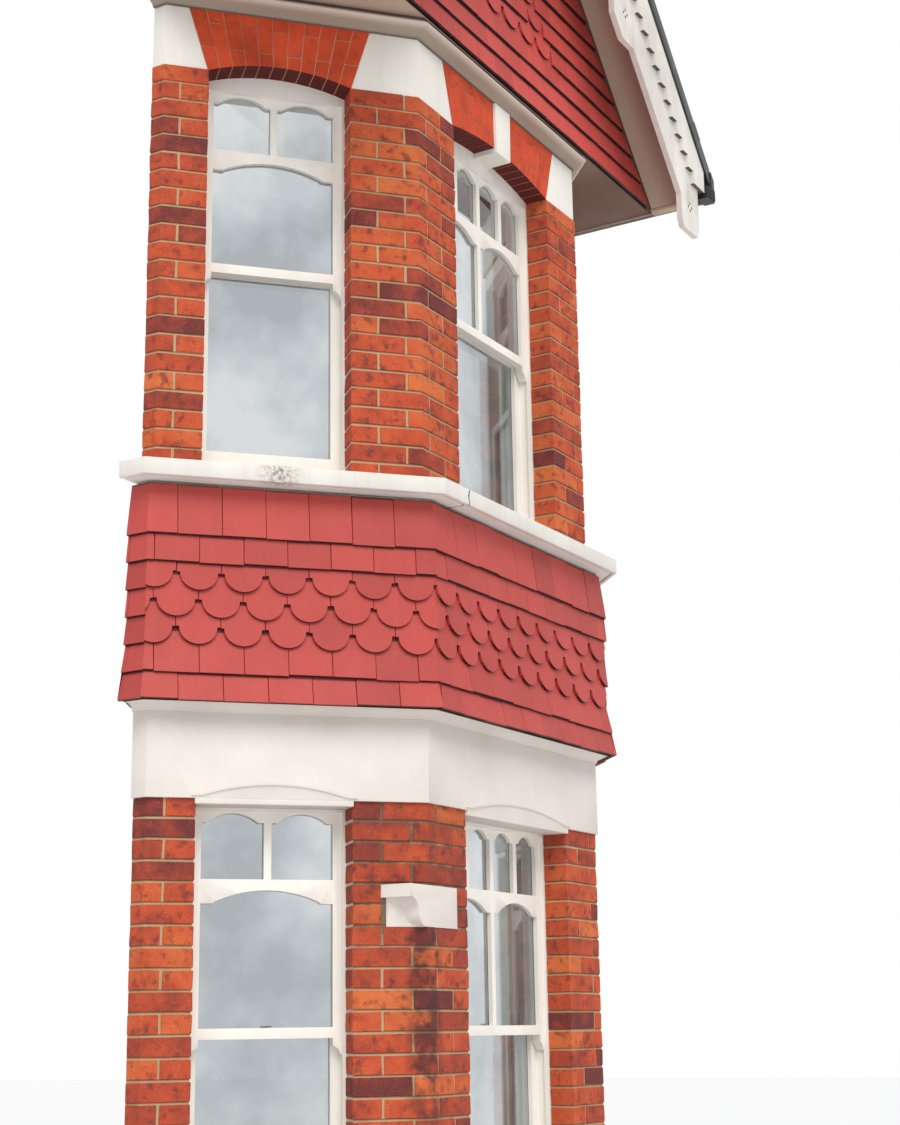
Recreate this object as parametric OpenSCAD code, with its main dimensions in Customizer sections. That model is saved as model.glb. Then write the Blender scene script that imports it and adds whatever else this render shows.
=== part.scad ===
// Two-storey canted bay of a brick terrace house, with a tile-hung apron
// between its windows and a tile-hung gable over them.
// Frame: millimetres, +Z up, the street front faces -Y, the house is at +Y.
// The origin is on the ground in the middle of the whole object's footprint.

/* [Plan] */
// Width of the front face between its two corners
front_w = 1410; // [1250:10:1700]
// Width of each canted side face
side_w = 1030; // [950:10:1200]
// Angle between the front face and a canted side
side_angle = 43; // [38:1:48]
// Length of the short return from a canted side to the house wall
return_w = 60; // [40:5:110]
// Thickness of the brick walls
wall_t = 225; // [215:5:250]
// Width of the brickwork beside each corner, on both faces
corner_pier_w = 280; // [240:5:320]
// Width of the brickwork between a side window and the end of its face
end_pier_w = 170; // [150:5:200]

/* [Heights] */
// Height of one brick course with its joint
course = 75; // [70:1:80]
// Courses below the ground-floor sill
plinth_courses = 9; // [8:1:11]
// Courses beside the ground-floor windows
ground_courses = 23; // [21:1:25]
// Height from the ground-floor window heads to the upper sill's top
storey_gap = 1220; // [1180:5:1300]
// Height of the upper sill over the floor behind it
sill_over_floor = 605; // [560:5:650]
// Height of the ground floor over the ground outside
ground_floor_z = 200; // [170:10:260]
// Thickness of the ground floor
ground_floor_t = 120; // [100:5:150]
// Thickness of the upper floor with its joists
first_floor_t = 240; // [200:5:260]
// Courses beside the upper windows
upper_courses = 22; // [20:1:24]
// Height of the gauged brick arches from springing to top
arch_h = 262; // [240:2:300]
// Rise of the arches' curved soffit
arch_rise = 50; // [40:1:60]
// How far an arch's sloping end leans out over its height
arch_skew = 78; // [60:2:90]
// Height of the cornice moulding
cornice_h = 75; // [65:1:90]

/* [Sills and storey band] */
// How far the sills stand out from the brick face
sill_out = 131; // [120:1:145]
// Height of a sill's front face
sill_face = 64; // [55:1:70]
// Thickness of the render on the band over the ground-floor windows
band_out = 15; // [12:1:20]
// Height of the rendered band
band_h = 308; // [290:2:325]
// Height of the cavetto moulding at the top of the band
cove_h = 30; // [26:1:36]
// Height of the flat board at each ground-floor window head
head_board_h = 20; // [14:1:24]

/* [Tile hanging] */
// Height of tile that shows in each course
tile_gauge = 102; // [98:1:106]
// Thickness of one tile
tile_t = 13; // [11:1:15]
// Courses of tiles on the apron
apron_courses = 7; // [5:1:7]
// How far the apron's tile tails stand out from the brick face
apron_out = 78; // [70:1:82]
// Extra kick-out of the lowest apron course
apron_kick = 26; // [10:1:30]
// How far the gable's tile tails stand out from the brick face
gable_out = 75; // [70:1:90]

/* [Roof and gable] */
// Pitch of the gable roof
pitch = 47; // [44:1:50]
// Distance from the front brick face to the bargeboards' face
verge_out = 330; // [300:5:380]
// Distance that the eaves stand out past the side returns
eaves_out = 42; // [30:2:60]
// Height of the bargeboards' top edge over the soffit, at the eaves
eaves_rise = 154; // [140:2:170]
// Depth of the boxed verge behind the bargeboards
verge_depth = 144; // [130:2:150]
// Thickness of battens and roof tiles together
roof_t = 60; // [50:2:70]
// Thickness of the flat soffit and ceiling boarding
soffit_t = 20; // [18:1:25]
// Thickness of the framed gable wall
gable_t = 100; // [90:5:120]

/* [Bargeboards] */
// Depth of a bargeboard, square to the roof slope
board_w = 330; // [300:5:350]
// Thickness of a bargeboard
board_t = 28; // [22:1:32]
// Distance from the middle to the plumb cut of the shaped bulge
bulge_x = 536; // [500:2:560]
// Length of the bulge's plumb cut
bulge_drop = 125; // [100:5:140]
// Width of the bulge between its plumb cut and its lower corner
bulge_run = 90; // [70:2:110]
// Width of the foot at the end of a bargeboard
foot_w = 212; // [180:2:240]
// Height of the foot below the strip's level end
foot_h = 266; // [240:2:290]
// Width of the stepped strip along a bargeboard's upper part, square to the slope
strip_w = 175; // [150:5:190]
// Thickness of the stepped strip
strip_t = 20; // [14:1:24]
// Level run of one step
step_run = 60; // [50:1:70]

/* [Windows] */
// Depth of the brick reveal in front of the frames
reveal = 102; // [95:1:112]
// How far the frames' boxes reach behind the brickwork
rebate = 50; // [40:1:60]
// Depth of a window frame
frame_d = 112; // [104:1:113]
// Width of frame that shows beside each opening
lining_w = 14; // [10:1:20]
// Thickness of the outer lining in front of the upper sash
lining_t = 18; // [14:1:22]
// Thickness of a sash
sash_t = 38; // [34:1:42]
// Width of the sash stiles
stile_w = 44; // [38:1:50]
// Height of the meeting rails
meeting_h = 38; // [34:1:44]
// Height of the bottom rails
bottom_rail_h = 90; // [75:1:100]
// Width of the bars between lights
bar_w = 28; // [22:1:32]
// Height of the upper sashes' row of small lights
top_light_h = 238; // [200:2:270]
// Height of the shaped rail under the small lights
shaped_rail_h = 39; // [34:1:50]
// Height of the shoulders beside the small lights' arched heads
shoulder_h = 34; // [28:1:42]
// Height of the shoulders beside the large lights' arched heads
large_shoulder_h = 48; // [36:1:56]
// Depth of the flat timber head below the arches
head_drop = 30; // [24:1:40]
// Thickness of the glass
glass_t = 4; // [3:1:6]

/* [Hidden] */
$fn = 64;

// Colours as the photographed house shows them
brick_red = [0.70, 0.30, 0.20];
arch_red = [0.78, 0.33, 0.20];
paint_white = [0.90, 0.88, 0.84];
tile_paint = [0.76, 0.30, 0.28];
soffit_cream = [0.72, 0.63, 0.57];
roof_brown = [0.40, 0.28, 0.23];
plastic_black = [0.05, 0.05, 0.06];
glass_tint = [0.70, 0.76, 0.80, 0.35];
timber = [0.72, 0.56, 0.38];

// Levels above the ground
ground_sill_z = (plinth_courses + 1) * course;
ground_head_z = ground_sill_z + ground_courses * course;
upper_sill_z = ground_head_z + storey_gap;
spring_z = upper_sill_z + upper_courses * course;
cornice_z = spring_z + arch_h;
soffit_z = cornice_z + cornice_h;
sill_bed = course;
first_floor_z = upper_sill_z - sill_over_floor;

// Plan of the brick face, to the right of the middle
half_w = front_w / 2;
bay_depth = side_w * sin(side_angle) + return_w;
end_x = half_w + side_w * cos(side_angle);
front_open = front_w - 2 * corner_pier_w;
side_open = side_w - corner_pier_w - end_pier_w;
mitre_a = tan(side_angle / 2);
mitre_b = tan((90 - side_angle) / 2);
far = 4000;

// Roof lines: the top edge of the bargeboards is the reference slope
eaves_x = end_x + eaves_out;
apex_z = soffit_z + eaves_rise + eaves_x * tan(pitch);
deck_in = verge_out - board_t;
verge_apex_z = apex_z - verge_depth / cos(pitch);
trim_out = 30;
fascia_t = 20;
gutter_r = 56;
gutter_wall = 3;
ridge_r = 125;
ridge_drop = 95;
tile_over = 60;

// The whole object's footprint, for the origin
back_y = bay_depth;
front_y = -(verge_out + trim_out);
middle_y = (back_y + front_y) / 2;

// Plan outline at a distance p outside the brick face, front right to left
function outline(p) = concat(right_outline(p), [for (q = reverse(right_outline(p))) [-q[0], q[1]]]);
function right_outline(p) = [
    [half_w + p * mitre_a, -p],
    [end_x + p, side_w * sin(side_angle) - p * mitre_b],
    [end_x + p, bay_depth]
];
function reverse(list) = [for (i = [len(list) - 1 : -1 : 0]) list[i]];

// The inside face of the walls runs out through the open back
function inner_outline(p) = concat(right_inner(p), [for (q = reverse(right_inner(p))) [-q[0], q[1]]]);
function right_inner(p) = [
    [half_w - p * mitre_a, p],
    [half_w - p * mitre_a + far * cos(side_angle), p + far * sin(side_angle)]
];

module placed() {
    translate([0, -middle_y, 0]) children();
}

// Frame of the right canted face: x along the face from its corner, y inwards
module on_side() {
    translate([half_w, 0, 0]) rotate([0, 0, side_angle]) children();
}

module each_side() {
    on_side() children();
    mirror([1, 0, 0]) on_side() children();
}

module both_halves() {
    children();
    mirror([1, 0, 0]) children();
}

// Everything behind the plane of the house wall is cut away
module cut_at_house() {
    intersection() {
        children();
        translate([-far, -far, -far]) cube([2 * far, far + bay_depth, 4 * far]);
    }
}

// A wall round the three faces, between two distances behind the brick face
module wall_ring(z0, z1, p_out, depth) {
    translate([0, 0, z0]) linear_extrude(z1 - z0) difference() {
        polygon(outline(p_out));
        intersection() {
            polygon(inner_outline(depth));
            translate([-far, 0]) square([2 * far, bay_depth + 1]);
        }
    }
}

// A facing on the three faces and returns, between two distances outside them
module face_ring(z0, z1, p_out, p_in) {
    translate([0, 0, z0]) linear_extrude(z1 - z0) difference() {
        polygon(outline(p_out));
        polygon(outline(p_in));
    }
}

// A profile of [outward, up] points swept along the plan, from one of its corners to another
module swept(profile, z, first = 0, last = 5) {
    n = len(profile);
    rings = [for (q = profile) [for (i = [first : last]) concat(sweep_path(q[0])[i], [z + q[1]])]];
    m = len(rings[0]);
    points = [for (r = rings) for (v = r) v];
    sides = [for (i = [0 : n - 1]) for (j = [0 : m - 2])
        [i * m + j, i * m + j + 1, ((i + 1) % n) * m + j + 1, ((i + 1) % n) * m + j]];
    start_cap = [for (i = [n - 1 : -1 : 0]) i * m];
    end_cap = [for (i = [0 : n - 1]) i * m + m - 1];
    polyhedron(points = points, faces = concat(sides, [reverse(start_cap)], [reverse(end_cap)]));
}

// The swept path keeps every profile point on its own parallel of the plan
function sweep_path(p) = concat(
    [[-end_x - p, bay_depth]],
    [[-end_x - p, min(bay_depth - 1, side_w * sin(side_angle) - p * mitre_b)]],
    [[-half_w - p * mitre_a, -p], [half_w + p * mitre_a, -p]],
    [[end_x + p, min(bay_depth - 1, side_w * sin(side_angle) - p * mitre_b)]],
    [[end_x + p, bay_depth]]
);

// Points of an arc from angle a0 to a1
function arc(cx, cy, r, a0, a1, steps) =
    [for (i = [0 : steps]) [cx + r * cos(a0 + (a1 - a0) * i / steps), cy + r * sin(a0 + (a1 - a0) * i / steps)]];

// Radius of a segmental arc of the given span and rise
function arc_radius(span, rise) = (span * span / 4 + rise * rise) / (2 * rise);

// Brickwork

module corner_pier(z0, z1) {
    color(brick_red) placed() translate([0, 0, z0]) linear_extrude(z1 - z0) union() {
        corner_leaf(corner_pier_w, 0, reveal);
        corner_leaf(corner_pier_w - rebate, reveal, wall_t);
    }
}

// The plan of a corner's brickwork between two depths behind the face
module corner_leaf(width, d0, d1) {
    c = side_angle;
    polygon([
        [half_w - width, d0],
        [half_w - d0 * mitre_a, d0],
        [half_w + width * cos(c) - d0 * sin(c), width * sin(c) + d0 * cos(c)],
        [half_w + width * cos(c) - d1 * sin(c), width * sin(c) + d1 * cos(c)],
        [half_w - d1 * mitre_a, d1],
        [half_w - width, d1]
    ]);
}

module end_pier(z0, z1) {
    color(brick_red) placed() cut_at_house() difference() {
        wall_ring(z0, z1, 0, wall_t);
        translate([0, 0, z0 - 1]) linear_extrude(z1 - z0 + 2) end_pier_cut();
    }
}

// Plan of all that is not the right end pier
module end_pier_cut() {
    open_end = side_w - end_pier_w;
    translate([-far, -far]) square([far + half_w, 2 * far]);
    translate([half_w, 0]) rotate(side_angle) {
        translate([-far, -far]) square([far + open_end, far + reveal]);
        translate([-far, reveal - 1]) square([far + open_end + rebate, far]);
    }
}

module plinth_wall() {
    color(brick_red) placed() wall_ring(0, ground_sill_z - sill_bed, 0, wall_t);
}

module spandrel_wall() {
    color(brick_red) placed() wall_ring(ground_head_z, upper_sill_z - sill_bed, 0, wall_t);
}

// The wall over the upper windows, behind the arches and springers
module head_wall() {
    color(brick_red) placed() difference() {
        wall_ring(spring_z, soffit_z, -reveal, wall_t);
        translate([-front_open / 2, 0, 0]) head_pocket(front_open);
        each_side() translate([corner_pier_w, 0, 0]) head_pocket(side_open);
    }
}

// Room in the head wall for the top of a window frame
module head_pocket(w) {
    translate([-rebate, 0, spring_z - 1]) cube([w + 2 * rebate, wall_t + 1, frame_top + 1]);
}

// Sills, band and mouldings

// Inner edge of a sill, behind the frames' front
sill_bed_in = reveal + 60;
drip_w = 8;
module sill(z) {
    lip = sill_out - 28;
    color(paint_white) placed() {
        wall_ring(z - sill_face + drip_w, z, sill_out, sill_bed_in);
        wall_ring(z - sill_face, z - sill_face + drip_w, lip, sill_bed_in);
        face_ring(z - sill_face, z - sill_face + drip_w, sill_out, lip + drip_w);
        wall_ring(z - sill_bed, z - sill_face, 30, sill_bed_in);
    }
}

// A thin raised arc on the render over each ground-floor window
arc_line_w = 14;
arc_line_out = 6;
module arc_line(w) {
    r = arc_radius(w, arch_rise);
    translate([0, 0, ground_head_z]) slab(-band_out - arc_line_out, arc_line_out + 1) intersection() {
        translate([w / 2, arch_rise - r]) difference() {
            circle(r + arc_line_w, $fn = 128);
            circle(r, $fn = 128);
        }
        translate([-arc_line_w, 8]) square([w + 2 * arc_line_w, 2 * arch_rise]);
    }
}

// Boards the soffit of a window head, from the frame to the band's face
module head_board(w) {
    translate([0, -band_out, ground_head_z - head_board_h]) cube([w, band_out + reveal, head_board_h]);
}

module storey_band() {
    color(paint_white) placed() {
        face_ring(ground_head_z, ground_head_z + band_h, band_out, 0);
        translate([-front_open / 2, 0, 0]) {
            head_board(front_open);
            arc_line(front_open);
        }
        each_side() translate([corner_pier_w, 0, 0]) {
            head_board(side_open);
            arc_line(side_open);
        }
    }
}

// A quarter-round hollow that carries the tiles' lowest course
module band_cove() {
    foot = band_out + 6;
    reach = apron_out - tile_t - foot;
    curve = [for (a = [0 : 10 : 90]) [foot + reach * (1 - cos(a)), cove_h * sin(a)]];
    color(paint_white) placed() swept(concat([[0, 0]], curve, [[0, cove_h]]), ground_head_z + band_h);
}

// The tail of each course of hanging tiles stands out over the top of the course below
function tail_out(i) = apron_out + apron_kick * kick_share(i);
function kick_share(i) = i == 0 ? 1 : i == 1 ? 0.45 : i == 2 ? 0.1 : 0;

apron_z = ground_head_z + band_h + cove_h;
apron_top_z = upper_sill_z - sill_bed;
tail_step = tile_t * 1.6;
apron_back = 0.3;
module apron(first, last) {
    top = apron_top_z - apron_z;
    profile = concat(
        [[apron_back, top], [apron_back, 0], [tail_out(0), 0]],
        [for (i = [1 : apron_courses - 1])
            each [[tail_out(i) - tail_step, i * tile_gauge], [tail_out(i), i * tile_gauge]]],
        [[apron_out - tail_step, top]]
    );
    color(tile_paint) placed() swept(profile, apron_z, first, last);
}

// A stone bracket built into the left corner, with an ogee under its slab
corbel_out = 130;
corbel_in = 205;
corbel_side = 158;
corbel_proud = 5;
corbel_slab = 46;
corbel_courses = 2;
corbel_lip = 8;
corbel_tail_turn = 250;
module corbel_stone() {
    h = corbel_courses * course;
    curve = h - corbel_slab;
    r = curve / 2;
    outlines = concat(
        [[corbel_in, 0], [corbel_in, h], [-corbel_out, h], [-corbel_out, curve]],
        arc(-corbel_out + corbel_lip, r, r, 90, 0, 8),
        arc(-corbel_out + corbel_lip + 2 * r, r, r, 180, corbel_tail_turn, 8),
        [[0, 0]]
    );
    color(paint_white) placed() translate([0, 0, ground_head_z - (4 + corbel_courses) * course])
        difference() {
            union() {
                translate([-half_w, corbel_block, 0]) rotate([90, 0, 0])
                    linear_extrude(corbel_block + corbel_proud) polygon(outlines);
                linear_extrude(h) mirror([1, 0]) corbel_pad();
            }
            translate([0, 0, -1]) linear_extrude(h + 2) polygon(outline(0));
        }
}
corbel_block = 150;

// The stone's flat faces on both sides of the corner, drawn for the right corner
module corbel_pad() {
    c = side_angle;
    polygon([
        [half_w - corbel_in, -corbel_proud],
        [half_w + corbel_proud * mitre_a, -corbel_proud],
        [half_w + corbel_side * cos(c) + corbel_proud * sin(c), corbel_side * sin(c) - corbel_proud * cos(c)],
        [half_w + corbel_side * cos(c), corbel_side * sin(c)],
        [half_w, 1],
        [half_w - corbel_in, 1]
    ]);
}

// Windows: each is drawn in its opening, x along the wall and y inwards

upper_win_h = upper_courses * course;
ground_win_h = ground_courses * course;
frame_top = 62;
cill_h = 50;
sash_gap = 2;
meeting_share = 0.51;
upper_sash_y = reveal + lining_t;
lower_sash_y = upper_sash_y + sash_t + 4;

// Head of a light from left to right: flat shoulders, small hollows and an arch
function light_head(w, h, rise) =
    let (flat = 0.08 * w, c = 0.3 * rise)
    let (x1 = flat + c * sin(60), z1 = h - rise + c * (1 - cos(60)))
    let (r = arc_radius(w - 2 * x1, h - z1), a1 = acos((w / 2 - x1) / r))
    concat(
        [for (a = [0 : 20 : 60]) [flat + c * sin(a), h - rise + c * (1 - cos(a))]],
        [for (i = [1 : 9]) [w / 2 - r * cos(a1 + (180 - 2 * a1) * i / 10), h - r + r * sin(a1 + (180 - 2 * a1) * i / 10)]],
        [for (a = [60 : -20 : 0]) [w - flat - c * sin(a), h - rise + c * (1 - cos(a))]]
    );

module light(w, h, rise) {
    polygon(concat([[w, h - rise], [w, 0], [0, 0], [0, h - rise]], light_head(w, h, rise)));
}

// The upper sash: a row of small lights over a shaped rail and larger panes
module upper_sash_face(w, h, small, large) {
    inner = w - 2 * stile_w;
    small_w = (inner - (small - 1) * bar_w) / small;
    large_w = (inner - (large - 1) * bar_w) / large;
    row_z = h - stile_w / 3 - top_light_h;
    difference() {
        square([w, h]);
        for (i = [0 : small - 1])
            translate([stile_w + i * (small_w + bar_w), row_z]) light(small_w, top_light_h, shoulder_h);
        for (i = [0 : large - 1])
            translate([stile_w + i * (large_w + bar_w), meeting_h])
                light(large_w, row_z - shaped_rail_h - meeting_h, large_shoulder_h);
    }
}

module lower_sash_face(w, h) {
    difference() {
        square([w, h]);
        translate([stile_w, bottom_rail_h]) square([w - 2 * stile_w, h - bottom_rail_h - meeting_h]);
    }
}

// A drawing in the wall's plane becomes a slab behind the face
module slab(y, t) {
    translate([0, y + t, 0]) rotate([90, 0, 0]) linear_extrude(t) children();
}

module window(w, h, top, small, large) {
    sash_w = w - 2 * sash_gap;
    meet_z = cill_h + (h - head_drop - cill_h) * meeting_share;
    head_z = h - head_drop;
    frame_w = w + 2 * rebate;
    color(paint_white) difference() {
        union() {
            difference() {
                translate([-rebate, reveal, 0]) cube([frame_w, frame_d, h + top]);
                translate([lining_w, reveal - 1, cill_h]) cube([w - 2 * lining_w, frame_d + 2, head_z - cill_h]);
                translate([sash_gap + 1, upper_sash_y + 1, cill_h - 7])
                    cube([sash_w - 2, frame_d, head_z - cill_h + 14]);
            }
            translate([sash_gap, 0, meet_z]) slab(upper_sash_y, sash_t)
                upper_sash_face(sash_w, head_z + 8 - meet_z, small, large);
            translate([sash_gap, 0, cill_h - 8]) slab(lower_sash_y, sash_t)
                lower_sash_face(sash_w, meet_z + meeting_h - cill_h + 8);
            translate([sash_gap, 0, meet_z - horn_h]) slab(upper_sash_y, sash_t) horn();
            translate([w - sash_gap, 0, meet_z - horn_h]) slab(upper_sash_y, sash_t) mirror([1, 0]) horn();
        }
        panes(w, h);
    }
}

// A curved horn under each end of the upper sash's meeting rail
horn_h = 60;
module horn() {
    difference() {
        square([stile_w, horn_h + 1]);
        translate([stile_w + 6, -4]) circle(r = stile_w - 8);
    }
}

// The two sheets of glass in a window
module panes(w, h) {
    meet_z = cill_h + (h - head_drop - cill_h) * meeting_share;
    head_z = h - head_drop;
    edge = 34;
    translate([edge, upper_sash_y + sash_t / 2, meet_z + 16]) cube([w - 2 * edge, glass_t, head_z - meet_z - 12]);
    translate([edge, lower_sash_y + sash_t / 2, cill_h + 60])
        cube([w - 2 * edge, glass_t, meet_z + meeting_h - cill_h - 80]);
}

module front_window(z, h, top) {
    placed() translate([-front_open / 2, 0, z]) window(front_open, h, top, 4, 2);
}

module side_window(z, h, top) {
    placed() cut_at_house() on_side() translate([corner_pier_w, 0, z]) window(side_open, h, top, 2, 1);
}

module storey_glass(z, h) {
    color(glass_tint) placed() {
        translate([-front_open / 2, 0, z]) panes(front_open, h);
        each_side() translate([corner_pier_w, 0, z]) panes(side_open, h);
    }
}

// Floors

module floor_slab(z_top, t) {
    color(timber) placed() translate([0, 0, z_top - t]) linear_extrude(t) intersection() {
        polygon(inner_outline(wall_t));
        translate([-far, 0]) square([2 * far, bay_depth]);
    }
}

// Arches and stones over the upper windows

// The outline of an arch over an opening, before its soffit is cut
module arch_block(w, over = 0) {
    lean = arch_skew / arch_h;
    foot = lean * over;
    head = arch_skew + lean * over;
    polygon([[foot, -over], [w - foot, -over], [w + head, arch_h + over], [-head, arch_h + over]]);
}

module arch_face(w) {
    r = arc_radius(w, arch_rise);
    difference() {
        arch_block(w);
        translate([w / 2, arch_rise - r]) circle(r, $fn = 128);
    }
}

key_w = 125;
key_out = 14;
key_drop = 24;
module front_arch() {
    color(arch_red) placed() difference() {
        translate([-front_open / 2, 0, spring_z]) slab(0, reveal) arch_face(front_open);
        key_block(0);
    }
}

module side_arch() {
    color(arch_red) placed() on_side() translate([corner_pier_w, 0, spring_z]) slab(0, reveal) arch_face(side_open);
}

module key_block(out) {
    translate([0, 0, spring_z + arch_rise - key_drop]) slab(-out, reveal + out)
        polygon([[-key_w / 2, 0], [key_w / 2, 0], [key_w / 2 + 5, arch_h - arch_rise + key_drop],
            [-key_w / 2 - 5, arch_h - arch_rise + key_drop]]);
}

module key_stone() {
    color(paint_white) placed() key_block(key_out);
}

module springers() {
    color(paint_white) placed() difference() {
        translate([0, 0, spring_z]) linear_extrude(arch_h) difference() {
            polygon(outline(0));
            polygon(outline(-reveal));
        }
        translate([-front_open / 2, 0, spring_z]) slab(-1, reveal + 2) arch_block(front_open, 5);
        each_side() translate([corner_pier_w, 0, spring_z]) slab(-1, reveal + 2) arch_block(side_open, 5);
    }
}

// An ogee moulding with a set-back fillet above it
cornice_out = 66;
cornice_foot = 10;
cornice_roll = 46;
cornice_set = cornice_out - 18;
module cornice_moulding() {
    steps = 12;
    run = (cornice_out - cornice_foot) / 2;
    ogee = [for (i = [0 : steps])
        [cornice_foot + run * (1 - cos(180 * i / steps)), cornice_roll * (0.1 + 0.9 * i / steps)]];
    profile = concat(
        [[-reveal, 0], [cornice_foot, 0]],
        ogee,
        [[cornice_set, cornice_roll + 2], [cornice_set, cornice_h], [-reveal, cornice_h]]
    );
    color(paint_white) placed() swept(profile, cornice_z);
}

// Gable, roof and eaves

module soffit_boards() {
    color(soffit_cream) placed() translate([-eaves_x, -gable_out + tile_t * 2, soffit_z])
        cube([2 * eaves_x, gable_out - tile_t * 2 + bay_depth, soffit_t]);
}

gable_face = gable_out - 2 * tile_t;
module gable_frame() {
    base = soffit_z + soffit_t;
    half = (verge_apex_z - base) / tan(pitch);
    color(timber) placed() translate([0, -gable_face + gable_t, 0]) rotate([90, 0, 0]) linear_extrude(gable_t)
        polygon([[-half, base], [half, base], [0, verge_apex_z]]);
}

// Rows of tiles in front of the framed gable, cut to the slope of the verges
module gable_tile_rows() {
    base = soffit_z + 3;
    half = (verge_apex_z - base) / tan(pitch);
    count = ceil((verge_apex_z - base) / tile_gauge);
    rows = [for (i = [0 : count - 1]) each [
        [-gable_out, base + i * tile_gauge],
        [-gable_out + tile_t * 1.6, base + (i + 1) * tile_gauge]
    ]];
    color(tile_paint) placed() intersection() {
        translate([-half, 0, 0]) rotate([90, 0, 90]) linear_extrude(2 * half)
            polygon(concat([[-gable_face - 0.3, base]], rows, [[-gable_face - 0.3, base + count * tile_gauge]]));
        translate([0, 0, 0]) rotate([90, 0, 0]) linear_extrude(gable_out + 1)
            polygon([[-half, base], [half, base], [0, verge_apex_z]]);
    }
}

// A band between two lines parallel to the right-hand slope, down to x or z
function slope_z(x, drop) = apex_z - x * tan(pitch) - drop / cos(pitch);
module slope_band(drop0, drop1, x_end) {
    polygon([
        [0, slope_z(0, drop0)], [x_end, slope_z(x_end, drop0)],
        [x_end, slope_z(x_end, drop1)], [0, slope_z(0, drop1)]
    ]);
}

module verge_box() {
    color(soffit_cream) placed() translate([0, -gable_face, 0]) rotate([90, 0, 0])
        linear_extrude(deck_in - gable_face) intersection() {
            slope_band(0, verge_depth, eaves_x);
            translate([-far, soffit_z]) square([2 * far, far]);
        }
}

// A point at distance u down the slope and n below its top edge
function on_slope(u, n) = [u * cos(pitch) - n * sin(pitch), apex_z - u * sin(pitch) - n * cos(pitch)];

foot_inset = 45;
foot_nick = [20, 38];
foot_bevel = [26, 55];
bulge_hole = [126, 76];
foot_x = eaves_x - foot_inset - foot_w;
strip_end_x = foot_x + 124;
strip_end_z = slope_z(strip_end_x, strip_w);
foot_z = strip_end_z - foot_h;
module bargeboard() {
    inner_z = function (x) slope_z(x, board_w);
    bulge_z = inner_z(bulge_x) - bulge_drop - bulge_run * tan(pitch);
    x1 = foot_x + foot_w;
    color(paint_white) placed() {
        translate([0, -verge_out + board_t, 0]) rotate([90, 0, 0]) linear_extrude(board_t) difference() {
            polygon([
                [0, apex_z],
                [eaves_x, slope_z(eaves_x, 0)],
                [eaves_x, strip_end_z],
                [x1, strip_end_z],
                [x1, foot_z + foot_bevel[1]],
                [x1 - foot_bevel[0], foot_z],
                [foot_x + foot_nick[0], foot_z],
                [foot_x, foot_z + foot_nick[1]],
                [foot_x, inner_z(foot_x)],
                [bulge_x + bulge_run + bulge_drop / tan(pitch), bulge_z],
                [bulge_x + bulge_run, bulge_z],
                [bulge_x, inner_z(bulge_x) - bulge_drop],
                [bulge_x, inner_z(bulge_x)],
                [0, inner_z(0)]
            ]);
            piercing([bulge_x + bulge_hole[0], inner_z(bulge_x) - bulge_hole[1]]);
            piercing([(foot_x + x1) / 2, foot_z + foot_h / 2]);
        }
        stepped_strip();
    }
}

// Four small drilled holes in the form of a flower
piercing_r = 19;
module piercing(at) {
    translate(at) for (a = [0 : 90 : 270]) rotate(a) translate([piercing_r, 0]) circle(r = 8, $fn = 24);
}

// The strip's lower edge climbs the slope in level and plumb steps
module stepped_strip() {
    count = floor(strip_end_x / step_run);
    rise = step_run * tan(pitch);
    steps = [for (i = [0 : count])
        each [
            [strip_end_x - i * step_run, strip_end_z + i * rise],
            [strip_end_x - i * step_run, strip_end_z + (i + 1) * rise]
        ]];
    translate([0, -verge_out + 1, 0]) rotate([90, 0, 0]) linear_extrude(strip_t + 1) polygon(concat(
        [[0, apex_z], [eaves_x, slope_z(eaves_x, 0)], [eaves_x, strip_end_z]],
        steps,
        [[0, strip_end_z + (count + 1) * rise]]
    ));
}

// The trim wraps the tiles' edge over a bargeboard
trim_cap = 5;
trim_leg = 61;
module verge_trim() {
    color(plastic_black) placed() {
        translate([0, -verge_out, 0]) rotate([90, 0, 0]) linear_extrude(trim_out)
            slope_band(0.3, -roof_t - trim_cap, eaves_x + tile_over);
        translate([0, -verge_out + trim_leg - 1, 0]) rotate([90, 0, 0]) linear_extrude(trim_leg)
            slope_band(-roof_t - 0.3, -roof_t - trim_cap, eaves_x + tile_over);
    }
}

module roof_slope() {
    color(roof_brown) placed() translate([0, bay_depth, 0]) rotate([90, 0, 0])
        linear_extrude(bay_depth + verge_out) slope_band(0, -roof_t, eaves_x + tile_over);
}

module ridge() {
    top = slope_z(0, -roof_t);
    color(roof_brown) placed() translate([0, bay_depth, 0]) rotate([90, 0, 0])
        linear_extrude(bay_depth + verge_out - 65) difference() {
            translate([0, top - ridge_drop]) circle(ridge_r);
            polygon([[0, top], [far, top - far * tan(pitch)], [-far, top - far * tan(pitch)]]);
        }
}

fascia_top = slope_z(eaves_x + fascia_t, 0) - 1;
module fascias() {
    color(paint_white) placed() both_halves()
        translate([eaves_x, -deck_in, soffit_z - 12])
            cube([fascia_t, deck_in + bay_depth, fascia_top - soffit_z + 12]);
}

module gutter_runs() {
    x = eaves_x + fascia_t + gutter_r;
    z = slope_z(eaves_x + tile_over, 0) - 12;
    color(plastic_black) placed() both_halves() translate([x, bay_depth, z]) {
        rotate([90, 0, 0]) linear_extrude(bay_depth + deck_in) difference() {
            circle(gutter_r);
            circle(gutter_r - gutter_wall);
            translate([-far, 0]) square([2 * far, far]);
        }
        translate([0, -bay_depth - deck_in + gutter_wall, 0]) rotate([90, 0, 0]) linear_extrude(gutter_wall)
            difference() {
                circle(gutter_r);
                translate([-far, 0]) square([2 * far, far]);
            }
    }
}

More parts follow.
